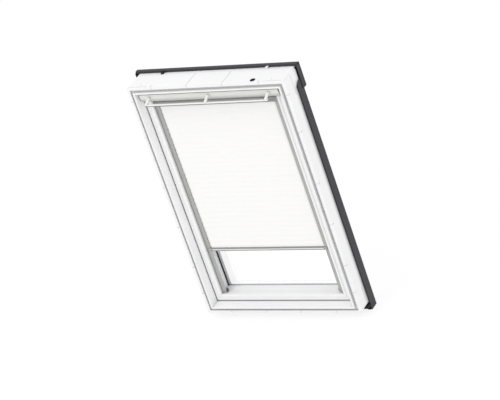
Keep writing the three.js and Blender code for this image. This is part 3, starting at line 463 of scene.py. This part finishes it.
# %% [markdown]
# ### The cloth's finish
#
# The honeycomb cloth is a bonded polyester: short fibres lie every way in it, so it has no weave,
# and from near it looks like felt paper. The pattern rides on the cloth's own map in metres, so
# that it stays on the cloth when the blind is pulled.

# %% Cloth finish
CLOTH_PALE, CLOTH_WHITE = paint(249, 248, 246), paint(253, 253, 251)
FIBRE_SIZE, CROSS_FIBRE_SIZE, CLOTH_CLOUD = 0.9 * MM, 1.1 * MM, 50 * MM
FIBRE_DEPTH = 0.12 * MM


def bonded_cloth():
    finish = Finish("bonded_cloth", Specular_IOR_Level=0.15, Sheen_Weight=0.25, Sheen_Roughness=0.5)
    fibres = finish.noise(FIBRE_SIZE, (1, 0.22, 1), detail=4.0, uv=True)
    across = finish.noise(CROSS_FIBRE_SIZE, (0.2, 1, 1), detail=4.0, uv=True)
    cloud = finish.noise(CLOTH_CLOUD, detail=3.0, uv=True)
    share = fibres * 0.3 + across * 0.3 + cloud * 0.4
    finish.give("Base Color", finish.mixed(share, CLOTH_PALE, CLOTH_WHITE))
    finish.give("Roughness", 0.8 + fibres * 0.15)
    finish.relief(fibres * 0.5 + across * 0.5, FIBRE_DEPTH)
    return finish.material


keep("cloth", bonded_cloth())

# %% [markdown]
# ## Each solid gets its finish
#
# A list of names for each finish is shorter than a finish for each name, and it reads like a
# maker's parts list. The cloth and its cords aren't on it, because they are made anew below.

# %% Dress the solids
FINISH_OF = {
    "white": ["frame_top", "frame_bottom", "frame_left", "frame_right",
              "sash_top", "sash_bottom", "sash_left", "sash_right"],
    "cladding": ["hood", "side_cover_upper_left", "side_cover_upper_right",
                 "side_cover_lower_left", "side_cover_lower_right", "sash_cover_top",
                 "sash_cover_bottom", "sash_cover_left", "sash_cover_right"],
    "rubber": ["cover_foot_left", "cover_foot_right", "sash_seal", "glazing_gasket"],
    "rail": ["rail_left", "rail_right", "rail_foot_left", "rail_foot_right",
             "headrail_cap_left", "headrail_cap_right", "end_shoe_left", "end_shoe_right"],
    "blind_bar": ["bottom_bar"],
    "headrail": ["headrail"],
    "flap": ["vent_flap"],
    "bar": ["bar_bracket_left", "bar_bracket_centre", "bar_bracket_right"],
    "grip": ["control_bar", "control_bar_cap_left", "control_bar_cap_right"],
    "spacer": ["glass_spacer"],
    "steel": ["lock_keep", "lock_bolt", "flap_hinge_rod", "pivot_pin_left", "pivot_pin_right",
              "frame_pivot_plate_left", "frame_pivot_plate_right"],
    "plastic": ["rail_clip_left", "rail_clip_right"],
    "glass": ["glass_inner", "glass_outer"],
}


def dress(solid, material):
    if not solid.material_slots:
        solid.data.materials.append(material)
    for place in solid.material_slots:
        place.material = material


for finish_name, solid_names in FINISH_OF.items():
    for solid_name in solid_names:
        dress(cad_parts[solid_name], finishes[finish_name])
print("solids dressed:", sum(map(len, FINISH_OF.values())))

# %% [markdown]
# ### Glass that lets the light in
#
# Light that a lamp sends through glass bends, and a renderer that looks for the lamp in a straight
# line finds the pane in its way. Both panes would stand as dark walls. Real panes take only a small
# part of the light, so here they are kept out of the search for light, and stay in the picture and
# in mirrors.

# %% Panes without a shadow
for pane_name in FINISH_OF["glass"]:
    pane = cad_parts[pane_name]
    pane.visible_shadow = False
    pane.visible_diffuse = False
    print(pane_name, "casts no shadow")

# %% [markdown]
# ## Building with Geometry Nodes
#
# What repeats is made by a small tree of Geometry Nodes. `Grower` builds such a tree in the
# script: its inputs have names, its steps are nodes, and it ends by making the copies real and
# giving them a finish. The result is turned into a plain mesh, because the export drops copies
# that aren't real. An input is set by its socket's identifier, before anything is worked out.

# %% Grower


class Grower:
    def __init__(self, name, inputs):
        self.tree = bpy.data.node_groups.new(name, "GeometryNodeTree")
        self.tree.is_modifier = True
        outside = self.tree.interface
        outside.new_socket("Geometry", in_out="INPUT", socket_type="NodeSocketGeometry")
        outside.new_socket("Geometry", in_out="OUTPUT", socket_type="NodeSocketGeometry")
        self.keys = {name: outside.new_socket(name, in_out="INPUT", socket_type=kind).identifier
                     for name, kind in inputs.items()}
        self.start = self.tree.nodes.new("NodeGroupInput")

    def input(self, name):
        return Value(self.tree, self.start.outputs[name])

    def node(self, kind, settings, sockets, output=0):
        return add_node(self.tree, kind, settings, sockets, output)

    def join(self, *parts):
        node = self.tree.nodes.new("GeometryNodeJoinGeometry")
        for part in parts:
            self.tree.links.new(part.socket, node.inputs[0])
        return Value(self.tree, node.outputs[0])

    def end(self, geometry):
        real = self.node("GeometryNodeRealizeInstances", {}, {"Geometry": geometry})
        done = self.node("GeometryNodeSetMaterial", {},
                         {"Geometry": real, "Material": self.input("Finish")})
        end = self.tree.nodes.new("NodeGroupOutput")
        self.tree.links.new(done.socket, end.inputs[0])

    def grow(self, name, seed_mesh=None, **values):
        """A plain mesh object, made by the tree from a mesh and its inputs."""
        host = bpy.data.objects.new("host", seed_mesh or bpy.data.meshes.new("host"))
        bpy.context.scene.collection.objects.link(host)
        modifier = host.modifiers.new("grow", "NODES")
        modifier.node_group = self.tree
        for key, value in values.items():
            modifier[self.keys[key]] = value
        graph = bpy.context.evaluated_depsgraph_get()
        mesh = bpy.data.meshes.new_from_object(host.evaluated_get(graph), depsgraph=graph)
        bpy.data.objects.remove(host)
        return add_piece(name, mesh)


# %% Helpers for pieces
MERGE_DISTANCE = 0.001 * MM


def add_piece(name, mesh):
    mesh.name = name
    piece = bpy.data.objects.new(name, mesh)
    bpy.context.scene.collection.objects.link(piece)
    return piece


def faces_out(piece):
    """Merges double points, then turns every face outwards."""
    shape = bmesh.new()
    shape.from_mesh(piece.data)
    bmesh.ops.remove_doubles(shape, verts=shape.verts, dist=MERGE_DISTANCE)
    bmesh.ops.recalc_face_normals(shape, faces=shape.faces)
    shape.to_mesh(piece.data)
    shape.free()


def face(node, axis, end):
    """Where a solid's box ends along an axis: 0 for its low side, 1 for its high side."""
    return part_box(node)[end][axis]


# %% [markdown]
# ## The honeycomb cloth
#
# A honeycomb cloth is a stack of tubes, glued one to the next. Light catches the upper half of
# each tube, which gives the fine bands. It could be modelled fold by fold, but a rule is shorter:
# one flat grid is bent so that it stands out between two glue lines and comes back at them. The
# same rule with its sign turned makes the wall toward the glass.
#
# A small wandering shift of each fold keeps the bands from looking printed. It is a noise of the
# fold's own place, so the cloth is the same on every run.

# %% Sizes of the cloth
CLOTH_LOW, CLOTH_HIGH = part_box("honeycomb_cloth")
CLOTH_SIZE = CLOTH_HIGH - CLOTH_LOW
CELL_HEIGHT = 25.6 * MM
CELLS = round(CLOTH_SIZE.z / CELL_HEIGHT)
PITCH = CLOTH_SIZE.z / CELLS
FABRIC = 0.4 * MM
REACH = CLOTH_SIZE.y / 2 - FABRIC
VALLEY = 4.6 * MM
SLACK = 0.4 * MM
CREASE = 1.7
STEPS_PER_CELL = 16
ACROSS = 41
print("cloth:", CELLS, "cells of", round(PITCH / MM, 2), "mm, span", round(CLOTH_SIZE.z, 4))

# %% The rule of the folds
GLUE_EDGE = 0.01
GLUE_SHIFT = 1e-4
WANDER_ACROSS = 2.2
WANDER_PER_CELL = 7.31
WANDER_SLICE = 0.4
LIFT_SHARE = 1.6


def fold_rule(tree, x, rise):
    """How far a point of the cloth stands out and is lifted, and 1 where it lies on a glue line."""
    cells_up = (rise - CLOTH_LOW.z) * (1 / PITCH) + GLUE_SHIFT
    within = cells_up.math("FRACT")
    crown = 1.0 - (within * 2.0 - 1.0).math("ABSOLUTE") ** CREASE
    where = tree.node("ShaderNodeCombineXYZ", {}, {
        "X": x * WANDER_ACROSS, "Y": cells_up.math("FLOOR") * WANDER_PER_CELL, "Z": WANDER_SLICE})
    wander = tree.node("ShaderNodeTexNoise", {}, {"Vector": where, "Scale": 1.0, "Detail": 1.0}) - 0.5
    valley, slack = tree.input("Valley"), tree.input("Slack")
    out = valley + crown * (tree.input("Reach") - valley) + crown * (wander - 0.5) * slack
    return out, crown * wander * slack * LIFT_SHARE, within.math("LESS_THAN", GLUE_EDGE)


# %% Cloth grower
MAP_STRETCH = 1.12


def cloth_grower():
    sizes = {"Width": "NodeSocketFloat", "Cells": "NodeSocketInt", "Foot": "NodeSocketFloat",
             "Pitch": "NodeSocketFloat", "Middle": "NodeSocketFloat", "Reach": "NodeSocketFloat",
             "Valley": "NodeSocketFloat", "Slack": "NodeSocketFloat", "Finish": "NodeSocketMaterial"}
    tree = Grower("honeycomb_cloth", sizes)
    height = tree.input("Cells") * tree.input("Pitch")
    rows = tree.input("Cells") * float(STEPS_PER_CELL) + 1.0
    grid = tree.node("GeometryNodeMeshGrid", {}, {
        "Size X": tree.input("Width"), "Size Y": height, "Vertices X": ACROSS, "Vertices Y": rows})
    position = tree.node("GeometryNodeInputPosition", {}, {})
    x = tree.node("ShaderNodeSeparateXYZ", {}, {0: position}, "X")
    up = tree.node("ShaderNodeSeparateXYZ", {}, {0: position}, "Y") + height * 0.5
    rise = up + tree.input("Foot")
    out, lift, glued = fold_rule(tree, x, rise)
    map_place = tree.node("ShaderNodeCombineXYZ", {}, {"X": x, "Y": rise * MAP_STRETCH, "Z": 0.0})
    mapped = tree.node("GeometryNodeStoreNamedAttribute", {"data_type": "FLOAT2", "domain": "CORNER"},
                       {"Geometry": grid, "Name": "UVMap", "Value": map_place})
    smooth = tree.node("GeometryNodeSetShadeSmooth", {}, {"Geometry": mapped})
    creased = tree.node("GeometryNodeSetShadeSmooth", {"domain": "EDGE"},
                        {"Geometry": smooth, "Selection": glued, "Shade Smooth": False})
    walls = []
    for side in (-1.0, 1.0):
        point = tree.node("ShaderNodeCombineXYZ", {},
                          {"X": x, "Y": out * side + tree.input("Middle"), "Z": rise + lift})
        wall = tree.node("GeometryNodeSetPosition", {}, {"Geometry": creased, "Position": point})
        if side > 0:
            wall = tree.node("GeometryNodeFlipFaces", {}, {"Mesh": wall})
        walls.append(wall)
    tree.end(tree.join(*walls))
    return tree


# %% [markdown]
# ### Strips that close up evenly
#
# The cloth hangs from the sash at its top and from the blind's bar at its foot. Each strip of a
# few folds therefore gets its own start and end, worked out backwards through the ease, so that
# its two edges move by just the share that their height asks for.

# %% Lengths of the cloth
STRIP_CELLS = [1, 1, 2, 4, 13, 4, 2, 1, 1]


def wall_length():
    """How far one cell's wall runs from glue line to glue line."""
    points = []
    for step in range(STEPS_PER_CELL + 1):
        fold = abs(2 * step / STEPS_PER_CELL - 1)
        depth = VALLEY + (1 - fold ** CREASE) * (REACH - VALLEY)
        points.append(Vector((depth, step * PITCH / STEPS_PER_CELL)))
    return sum((b - a).length for a, b in zip(points, points[1:]))


print("one wall of a cell is", round(wall_length() / MM, 2), "mm")

# %% Hang the cloth


def hang_strip(tree, name, done, count):
    """Hangs a strip of so many cells under those that are done."""
    top = CLOTH_HIGH.z - done * PITCH
    foot = top - count * PITCH
    strip = tree.grow(
        name, Width=CLOTH_SIZE.x, Cells=count, Foot=foot, Pitch=PITCH, Reach=REACH, Valley=VALLEY,
        Middle=(CLOTH_LOW.y + CLOTH_HIGH.y) / 2, Slack=SLACK, Finish=finishes["cloth"])
    shell = strip.modifiers.new("thickness", "SOLIDIFY")
    shell.thickness = FABRIC
    shell.offset = -1
    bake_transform(strip)
    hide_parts("honeycomb_cloth")


def hang_cloth():
    tree = cloth_grower()
    done = 0
    for order, count in enumerate(STRIP_CELLS):
        hang_strip(tree, f"cloth_strip_{order + 1}", done, count)
        done += count
    return done


print("cells hung:", hang_cloth())

# %% [markdown]
# ## The tension cords
#
# A thin braided cord stands in each rail, from the rail's foot to the headrail's end, and keeps
# the bar level. It is held at both ends, so it is straight. A curve with a round bevel is enough,
# and the braid is a wave that runs slantwise round it.

# %% Cord finish
BRAID_LOW, BRAID_HIGH = paint(196, 196, 190), paint(240, 240, 234)
BRAID_SIZE, BRAID_STRETCH, BRAID_DEPTH = 1.2 * MM, (1, 1, 0.6), 0.1 * MM


def braid():
    finish = Finish("braided_cord", Specular_IOR_Level=0.2)
    wave = finish.node("ShaderNodeTexWave", {"bands_direction": "DIAGONAL"},
                       {"Vector": finish.place(BRAID_SIZE, BRAID_STRETCH), "Scale": 1.0})
    finish.give("Base Color", finish.mixed(wave, BRAID_LOW, BRAID_HIGH))
    finish.give("Roughness", 0.7 + wave * 0.2)
    finish.relief(wave, BRAID_DEPTH)
    return finish.material


keep("braid", braid())

# %% Cords
CORD_RADIUS = 0.6 * MM
CORD_POINTS = 17
CORD_ROUNDNESS = 3


def tension_cord(side):
    node = f"tension_cord_{side}"
    low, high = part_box(node)
    middle = (low + high) / 2
    line = bpy.data.curves.new(f"braided_{node}", "CURVE")
    line.dimensions = "3D"
    line.bevel_depth = CORD_RADIUS
    line.bevel_resolution = CORD_ROUNDNESS
    line.use_fill_caps = True
    spline = line.splines.new("POLY")
    spline.points.add(CORD_POINTS - 1)
    for place, point in enumerate(spline.points):
        share = place / (CORD_POINTS - 1)
        point.co = (middle.x, middle.y, high.z + share * (low.z - high.z), 1)
    piece = bpy.data.objects.new(line.name, line)
    bpy.context.scene.collection.objects.link(piece)
    line.materials.append(finishes["braid"])
    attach(piece, "sash")
    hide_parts(node)
    return high.z - low.z


for _, cord_side in SIDES:
    print(cord_side, "cord:", round(tension_cord(cord_side), 4), "m")

# %% [markdown]
# ## Screws
#
# Small cross-headed screws hold the covers, the pivot plates and the blind's ends. A real one is
# turned, and its cross is pressed in cold. Here one head is a short cone with two slots cut by a
# Boolean, and copies of it stand on the points of a small mesh, each turned by its own amount,
# because no two screws stop at the same angle.

# %% Screw grower
SCREW_SIDES = 16
HEAD_TAPER = 0.7
SLOT_LONG, SLOT_WIDE, SLOT_RISE = 1.05, 0.22, 0.95
FULL_TURN = 2 * math.pi


def screw_grower():
    sizes = {"Radius": "NodeSocketFloat", "Height": "NodeSocketFloat", "Facing": "NodeSocketVector",
             "Seed": "NodeSocketInt", "Finish": "NodeSocketMaterial"}
    tree = Grower("screws", sizes)
    radius, height = tree.input("Radius"), tree.input("Height")
    head = tree.node("GeometryNodeMeshCone", {}, {
        "Vertices": SCREW_SIDES, "Radius Top": radius * HEAD_TAPER, "Radius Bottom": radius,
        "Depth": height})
    for wide, deep in ((SLOT_LONG, SLOT_WIDE), (SLOT_WIDE, SLOT_LONG)):
        size = tree.node("ShaderNodeCombineXYZ", {},
                         {"X": radius * wide, "Y": radius * deep, "Z": height})
        rise = tree.node("ShaderNodeCombineXYZ", {}, {"Z": height * SLOT_RISE})
        arm = tree.node("GeometryNodeMeshCube", {}, {"Size": size})
        slot = tree.node("GeometryNodeSetPosition", {}, {"Geometry": arm, "Offset": rise})
        head = tree.node("GeometryNodeMeshBoolean", {"solver": "EXACT"}, {0: head, 1: slot})
    # A Random Value node's sockets 2 and 3 are its least and greatest number, and 8 is its seed.
    spin = tree.node("FunctionNodeRandomValue", {}, {2: 0.0, 3: FULL_TURN, 8: tree.input("Seed")}, 1)
    stand = tree.node("FunctionNodeAlignRotationToVector", {}, {"Vector": tree.input("Facing")})
    turn = tree.node("FunctionNodeAxisAngleToRotation", {}, {"Axis": (0, 0, 1), "Angle": spin})
    way = tree.node("FunctionNodeRotateRotation", {"rotation_space": "LOCAL"},
                    {"Rotation": stand, "Rotate By": turn})
    tree.end(tree.node("GeometryNodeInstanceOnPoints", {},
                       {"Points": tree.input("Geometry"), "Instance": head, "Rotation": way}))
    return tree


# %% [markdown]
# ### Where the screws go
#
# Each row stands on the face of the solid that it holds, so only its heights and its distance from
# the window's middle are given. A head is sunk a little, as a tightened one is. The seed of a row
# is the length of its name, so that rows differ and every run is alike.

# %% Sizes and places of the screws
SUNK_SHARE = 0.2
PLATE_SCREW = (3.4 * MM, 1.3 * MM)
SMALL_SCREW = (2.1 * MM, 1.1 * MM)
COVER_SCREW = (4.2 * MM, 1.8 * MM)
TO_ROOM, TO_WEATHER, DOWN = (0, -1, 0), (0, 1, 0), (0, 0, -1)
PIVOT_HEIGHT, PIVOT_DEPTH, PLATE_SCREW_STEP = 0.589, 0.015, 0.03
CAP_SCREW_X, CAP_SCREW_Z = 0.3047, 1.067
FOOT_SCREW_X, FOOT_SCREW_Z = 0.2977, 0.0873
SHOE_SCREW_X, SHOE_SCREW_Z = 0.2895, 0.3135
SIDE_COVER_X, SASH_COVER_X = 0.372, 0.326
SIDE_HEIGHTS = {"lower": (0.06, 0.3, 0.545), "upper": (0.633, 0.84, 1.04)}
SASH_HEIGHTS = (0.16, 0.39, 0.62, 0.85, 1.05)
KEEP_SCREW_X, KEEP_SCREW_Y, KEEP_SCREW_Z = 0.0125, -0.004, 1.1373


def screw_rows(sign, side):
    """The rows of one side: each one's name, body, facing, size and places."""
    plate = face(f"frame_pivot_plate_{side}", 0, 0 if sign > 0 else 1)
    heights = (PIVOT_HEIGHT - PLATE_SCREW_STEP, PIVOT_HEIGHT + PLATE_SCREW_STEP)
    yield ("plate_screws", "frame", (-sign, 0, 0), PLATE_SCREW,
           [(plate, PIVOT_DEPTH, height) for height in heights])
    front = face(f"headrail_cap_{side}", 1, 0)
    yield "cap_screw", "sash", TO_ROOM, SMALL_SCREW, [(sign * CAP_SCREW_X, front, CAP_SCREW_Z)]
    front = face(f"rail_foot_{side}", 1, 0)
    yield "foot_screw", "sash", TO_ROOM, SMALL_SCREW, [(sign * FOOT_SCREW_X, front, FOOT_SCREW_Z)]
    front = face(f"end_shoe_{side}", 1, 0)
    yield "shoe_screw", "blind_bar", TO_ROOM, SMALL_SCREW, [(sign * SHOE_SCREW_X, front, SHOE_SCREW_Z)]
    for part, heights in SIDE_HEIGHTS.items():
        back = face(f"side_cover_{part}_{side}", 1, 1)
        yield (f"cover_screws_{part}", "frame", TO_WEATHER, COVER_SCREW,
               [(sign * SIDE_COVER_X, back, height) for height in heights])
    back = face(f"sash_cover_{side}", 1, 1)
    yield ("sash_cover_screws", "sash", TO_WEATHER, COVER_SCREW,
           [(sign * SASH_COVER_X, back, height) for height in SASH_HEIGHTS])


# %% Drive the screws


def drive_screws(tree, name, body, facing, size, places):
    """Drives a row of screws of size (radius, height) into a body."""
    radius, height = size
    mesh = bpy.data.meshes.new("points")
    mesh.from_pydata([Vector(place) - Vector(facing) * height * SUNK_SHARE for place in places], [], [])
    screws = tree.grow(name, mesh, Radius=radius, Height=height, Facing=facing, Seed=len(name),
                       Finish=finishes["steel"])
    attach(screws, body)
    return len(places)


def all_screws():
    tree = screw_grower()
    count = 0
    for sign, side in SIDES:
        for name, *row in screw_rows(sign, side):
            count += drive_screws(tree, f"{name}_{side}", *row)
    keep_row = [(x, KEEP_SCREW_Y, KEEP_SCREW_Z) for x in (-KEEP_SCREW_X, KEEP_SCREW_X)]
    return count + drive_screws(tree, "keep_screws", "frame", DOWN, SMALL_SCREW, keep_row)


print("screws:", all_screws())

# %% [markdown]
# ## Strips drawn through a die
#
# Seals, inserts and folded clips have one section all the way along. A section is a small closed
# loop of edges, and the tree pulls it along a line or round a rectangle with rounded corners. Its
# first number counts away from the path's middle, or toward the room on a straight strip, and its
# second counts toward the weather, or down on a straight strip.

# %% Strip grower
UPRIGHT = (math.pi / 2, 0, 0)
CORNER_STEPS = 5


def strip_grower(round_a_rectangle):
    sizes = {"Width": "NodeSocketFloat", "Height": "NodeSocketFloat", "Corner": "NodeSocketFloat",
             "Middle": "NodeSocketVector", "Finish": "NodeSocketMaterial"}
    tree = Grower("drawn_strip", sizes)
    section = tree.node("GeometryNodeMeshToCurve", {}, {"Mesh": tree.input("Geometry")})
    width = tree.input("Width")
    if round_a_rectangle:
        path = tree.node("GeometryNodeCurvePrimitiveQuadrilateral", {},
                         {"Width": width, "Height": tree.input("Height")})
        path = tree.node("GeometryNodeFilletCurve", {"mode": "POLY"},
                         {"Curve": path, "Count": CORNER_STEPS, "Radius": tree.input("Corner")})
    else:
        start = tree.node("ShaderNodeCombineXYZ", {}, {"X": width * -0.5})
        end = tree.node("ShaderNodeCombineXYZ", {}, {"X": width * 0.5})
        path = tree.node("GeometryNodeCurvePrimitiveLine", {}, {"Start": start, "End": end})
    path = tree.node("GeometryNodeSetCurveNormal", {"mode": "Z_UP"}, {"Curve": path})
    strip = tree.node("GeometryNodeCurveToMesh", {},
                      {"Curve": path, "Profile Curve": section, "Fill Caps": True})
    turned = {"Geometry": strip, "Translation": tree.input("Middle")}
    if round_a_rectangle:
        turned["Rotation"] = UPRIGHT
    tree.end(tree.node("GeometryNodeTransform", {}, turned))
    return tree


def section_loop(outline):
    count = len(outline)
    mesh = bpy.data.meshes.new("section")
    mesh.from_pydata([(x * MM, y * MM, 0) for x, y in outline],
                     [(place, (place + 1) % count) for place in range(count)], [])
    return mesh


def draw_strip(tree, name, body, finish, slot, outline, **sizes):
    strip = tree.grow(name, section_loop(outline), Finish=finishes[finish], **sizes)
    faces_out(strip)
    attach(strip, body)
    corners = [vertex.co / MM for vertex in strip.data.vertices]
    low, high = ([round(pick(corner[axis] for corner in corners), 1) for axis in range(3)]
                 for pick in (min, max))
    print(name, "from", low, "to", high, "mm")


# %% [markdown]
# ### The lip, the clips and the insert
#
# Outside, a soft lip seals the pane against the sheet covers. Two folded clips hold the hood's
# edge down on the frame's top, a black one on the left and a white one on the right. A light
# insert closes the groove in the front of the blind's bar.

# %% Draw the strips
GLASS_LIP = [(-1.3, 0.05), (-0.1, 0.05), (-0.1, 1.9), (-0.7, 1.6)]
LIP_CORNER = 4 * MM
CLIP = [(-2, 0), (14, 0), (15, -0.8), (15, -5.4), (13.8, -6.4), (7, -6.6), (-0.4, -7.4), (-0.4, -6.2),
        (6.4, -5.4), (12.4, -5.0), (13, -4.2), (13, -2.0), (12, -1.2), (-2, -1.2)]
CLIP_WIDE = 12 * MM
CLIP_X, CLIP_Y = 0.258, 0.0628
CLIP_MADE_OF = {"left": ("rubber", "black_rubber"), "right": ("cap", "white_moulding")}
INSERT_DEEP, INSERT_END_GAPS = 1.45, 4 * MM
BAR_INSERT = [(0, -2.4), (1.1, -2.4), (INSERT_DEEP, -1.8), (INSERT_DEEP, 1.8), (1.1, 2.4), (0, 2.4)]


def glass_lip():
    inner = face("sash_cover_right", 0, 0)
    low, high = face("sash_cover_bottom", 2, 1), face("sash_cover_top", 2, 0)
    draw_strip(strip_grower(True), "outer_glass_lip", "sash", "rubber", "black_rubber", GLASS_LIP,
               Width=2 * inner, Height=high - low, Corner=LIP_CORNER,
               Middle=(0, face("glass_outer", 1, 1), (low + high) / 2))


def straight_strips():
    tree = strip_grower(False)
    for sign, side in SIDES:
        draw_strip(tree, f"hood_clip_{side}", "frame", *CLIP_MADE_OF[side], CLIP, Width=CLIP_WIDE,
                   Middle=(sign * CLIP_X, CLIP_Y, face("frame_top", 2, 1)))
    low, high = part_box("bottom_bar")
    draw_strip(tree, "bottom_bar_insert", "blind_bar", "bar", "white_bar", BAR_INSERT,
               Width=high.x - low.x - INSERT_END_GAPS,
               Middle=(0, low.y + INSERT_DEEP * MM, (low.z + high.z) / 2))


glass_lip()
straight_strips()

# %% [markdown]
# ## The cable's way out
#
# A wire for a motor can leave the frame through a hole in its top, which a soft black grommet
# closes. A grommet is a turned shape. It could be built up from rings, but half of its outline,
# spun about its middle, gives the dome, the lip and the neck at once.

# %% Grommet
GROMMET_X, GROMMET_Y = 0.232, -0.038
GROMMET_SIDES = 40
GROMMET_OUTLINE = [(0, -1.6), (2.2, -1.4), (3.0, -0.5), (7.4, -0.9), (8.6, 0.5), (10.4, 1.1),
                   (11.8, 0.8), (12.2, 0.05), (10.7, 0.05), (10.7, -3.0), (0, -3.0)]


def grommet():
    middle = Vector((GROMMET_X, GROMMET_Y, face("frame_top", 2, 1)))
    shape = bmesh.new()
    rim = [shape.verts.new(middle + Vector((radius, 0, rise)) * MM) for radius, rise in GROMMET_OUTLINE]
    edges = [shape.edges.new(pair) for pair in zip(rim, rim[1:])]
    bmesh.ops.spin(shape, geom=rim + edges, cent=middle, axis=(0, 0, 1), angle=FULL_TURN,
                   steps=GROMMET_SIDES, use_merge=True)
    mesh = bpy.data.meshes.new("cable_grommet")
    shape.to_mesh(mesh)
    shape.free()
    piece = add_piece("cable_grommet", mesh)
    faces_out(piece)
    mesh.materials.append(finishes["rubber"])
    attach(piece, "frame")
    print("grommet:", len(mesh.polygons), "faces")


grommet()

# %% [markdown]
# ## Light and ground
#
# The window stands on a white ground under a broad even sky. A large soft lamp over the camera's
# left shoulder gives the profiles their shades, and a weak one from the right keeps the frame's
# outer side and the reveals bright, as in the photo. The ground shows the camera plain white, and
# keeps a share of its own shading, so that the window's shadow still lies on it.

# %% Who looks at the background
WHITE = (1, 1, 1, 1)


def light_path(tree, kind):
    return add_node(tree, "ShaderNodeLightPath", {}, {}, kind)


def camera_share(tree):
    """1 where the camera looks, straight or through glass or by a mirror, and 0 for light."""
    seen = light_path(tree, "Is Camera Ray")
    for kind in ("Is Glossy Ray", "Is Transmission Ray"):
        seen = seen.math("MAXIMUM", light_path(tree, kind))
    return seen


# %% Sky
SKY = 0.87


def make_world():
    world = bpy.data.worlds.new("sky")
    bpy.context.scene.world = world
    world.use_nodes = True
    tree = world.node_tree
    sky = tree.nodes["Background"]
    sky.inputs["Color"].default_value = WHITE
    sky.inputs["Strength"].default_value = SKY
    white = add_node(tree, "ShaderNodeBackground", {}, {"Color": WHITE})
    mix = add_node(tree, "ShaderNodeMixShader", {},
                   {0: camera_share(tree), 1: Value(tree, sky.outputs[0]), 2: white})
    tree.links.new(mix.socket, tree.nodes["World Output"].inputs["Surface"])
    print("sky:", SKY)


make_world()

# %% Floor
FLOOR_GLOW = 0.78
GLOW = 1.06
FLOOR_REACH = 30
FLOOR_DROP = 0.5 * MM
GROUND = (0.93, 0.93, 0.93, 1)


def white_ground():
    finish = Finish("white_ground", Base_Color=GROUND, Roughness=0.9, Specular_IOR_Level=0.1)
    tree = finish.tree
    glow = finish.node("ShaderNodeEmission", {}, {"Color": WHITE, "Strength": GLOW})
    through = light_path(tree, "Is Transmission Ray")
    share = (camera_share(tree) * FLOOR_GLOW).math("MAXIMUM", through)
    mix = finish.node("ShaderNodeMixShader", {},
                      {0: share, 1: Value(tree, finish.shader.outputs[0]), 2: glow})
    tree.links.new(mix.socket, tree.nodes["Material Output"].inputs["Surface"])
    return finish.material


def make_floor():
    mesh = bpy.data.meshes.new("floor")
    corners = [(-1, -1), (1, -1), (1, 1), (-1, 1)]
    level = cad_low.z - FLOOR_DROP
    mesh.from_pydata([(FLOOR_REACH * x, FLOOR_REACH * y, level) for x, y in corners], [], [(0, 1, 2, 3)])
    floor = add_piece("floor", mesh)
    mesh.materials.append(white_ground())
    print("floor at", round(level, 4), "m")


make_floor()

# %% Lamps
LAMP_SIZE = 6.0
KEY_POWER = 190
KEY_PLACE = Vector((-3.6, -5.6, 8.8))
FILL_POWER = 55
FILL_PLACE = Vector((7.5, -2.5, 3.5))


def make_lamp(name, place, power):
    lamp = bpy.data.objects.new(name, bpy.data.lights.new(name, "AREA"))
    bpy.context.scene.collection.objects.link(lamp)
    lamp.data.shape = "DISK"
    lamp.data.size = LAMP_SIZE
    lamp.data.energy = power
    lamp.location = place
    lamp.rotation_mode = "QUATERNION"
    lamp.rotation_quaternion = (CAMERA_TARGET - place).to_track_quat("-Z", "Y")
    print("lamp", name, "of", power, "W")


bpy.context.scene.view_settings.view_transform = "Standard"
make_lamp("key", KEY_PLACE, KEY_POWER)
make_lamp("fill", FILL_PLACE, FILL_POWER)
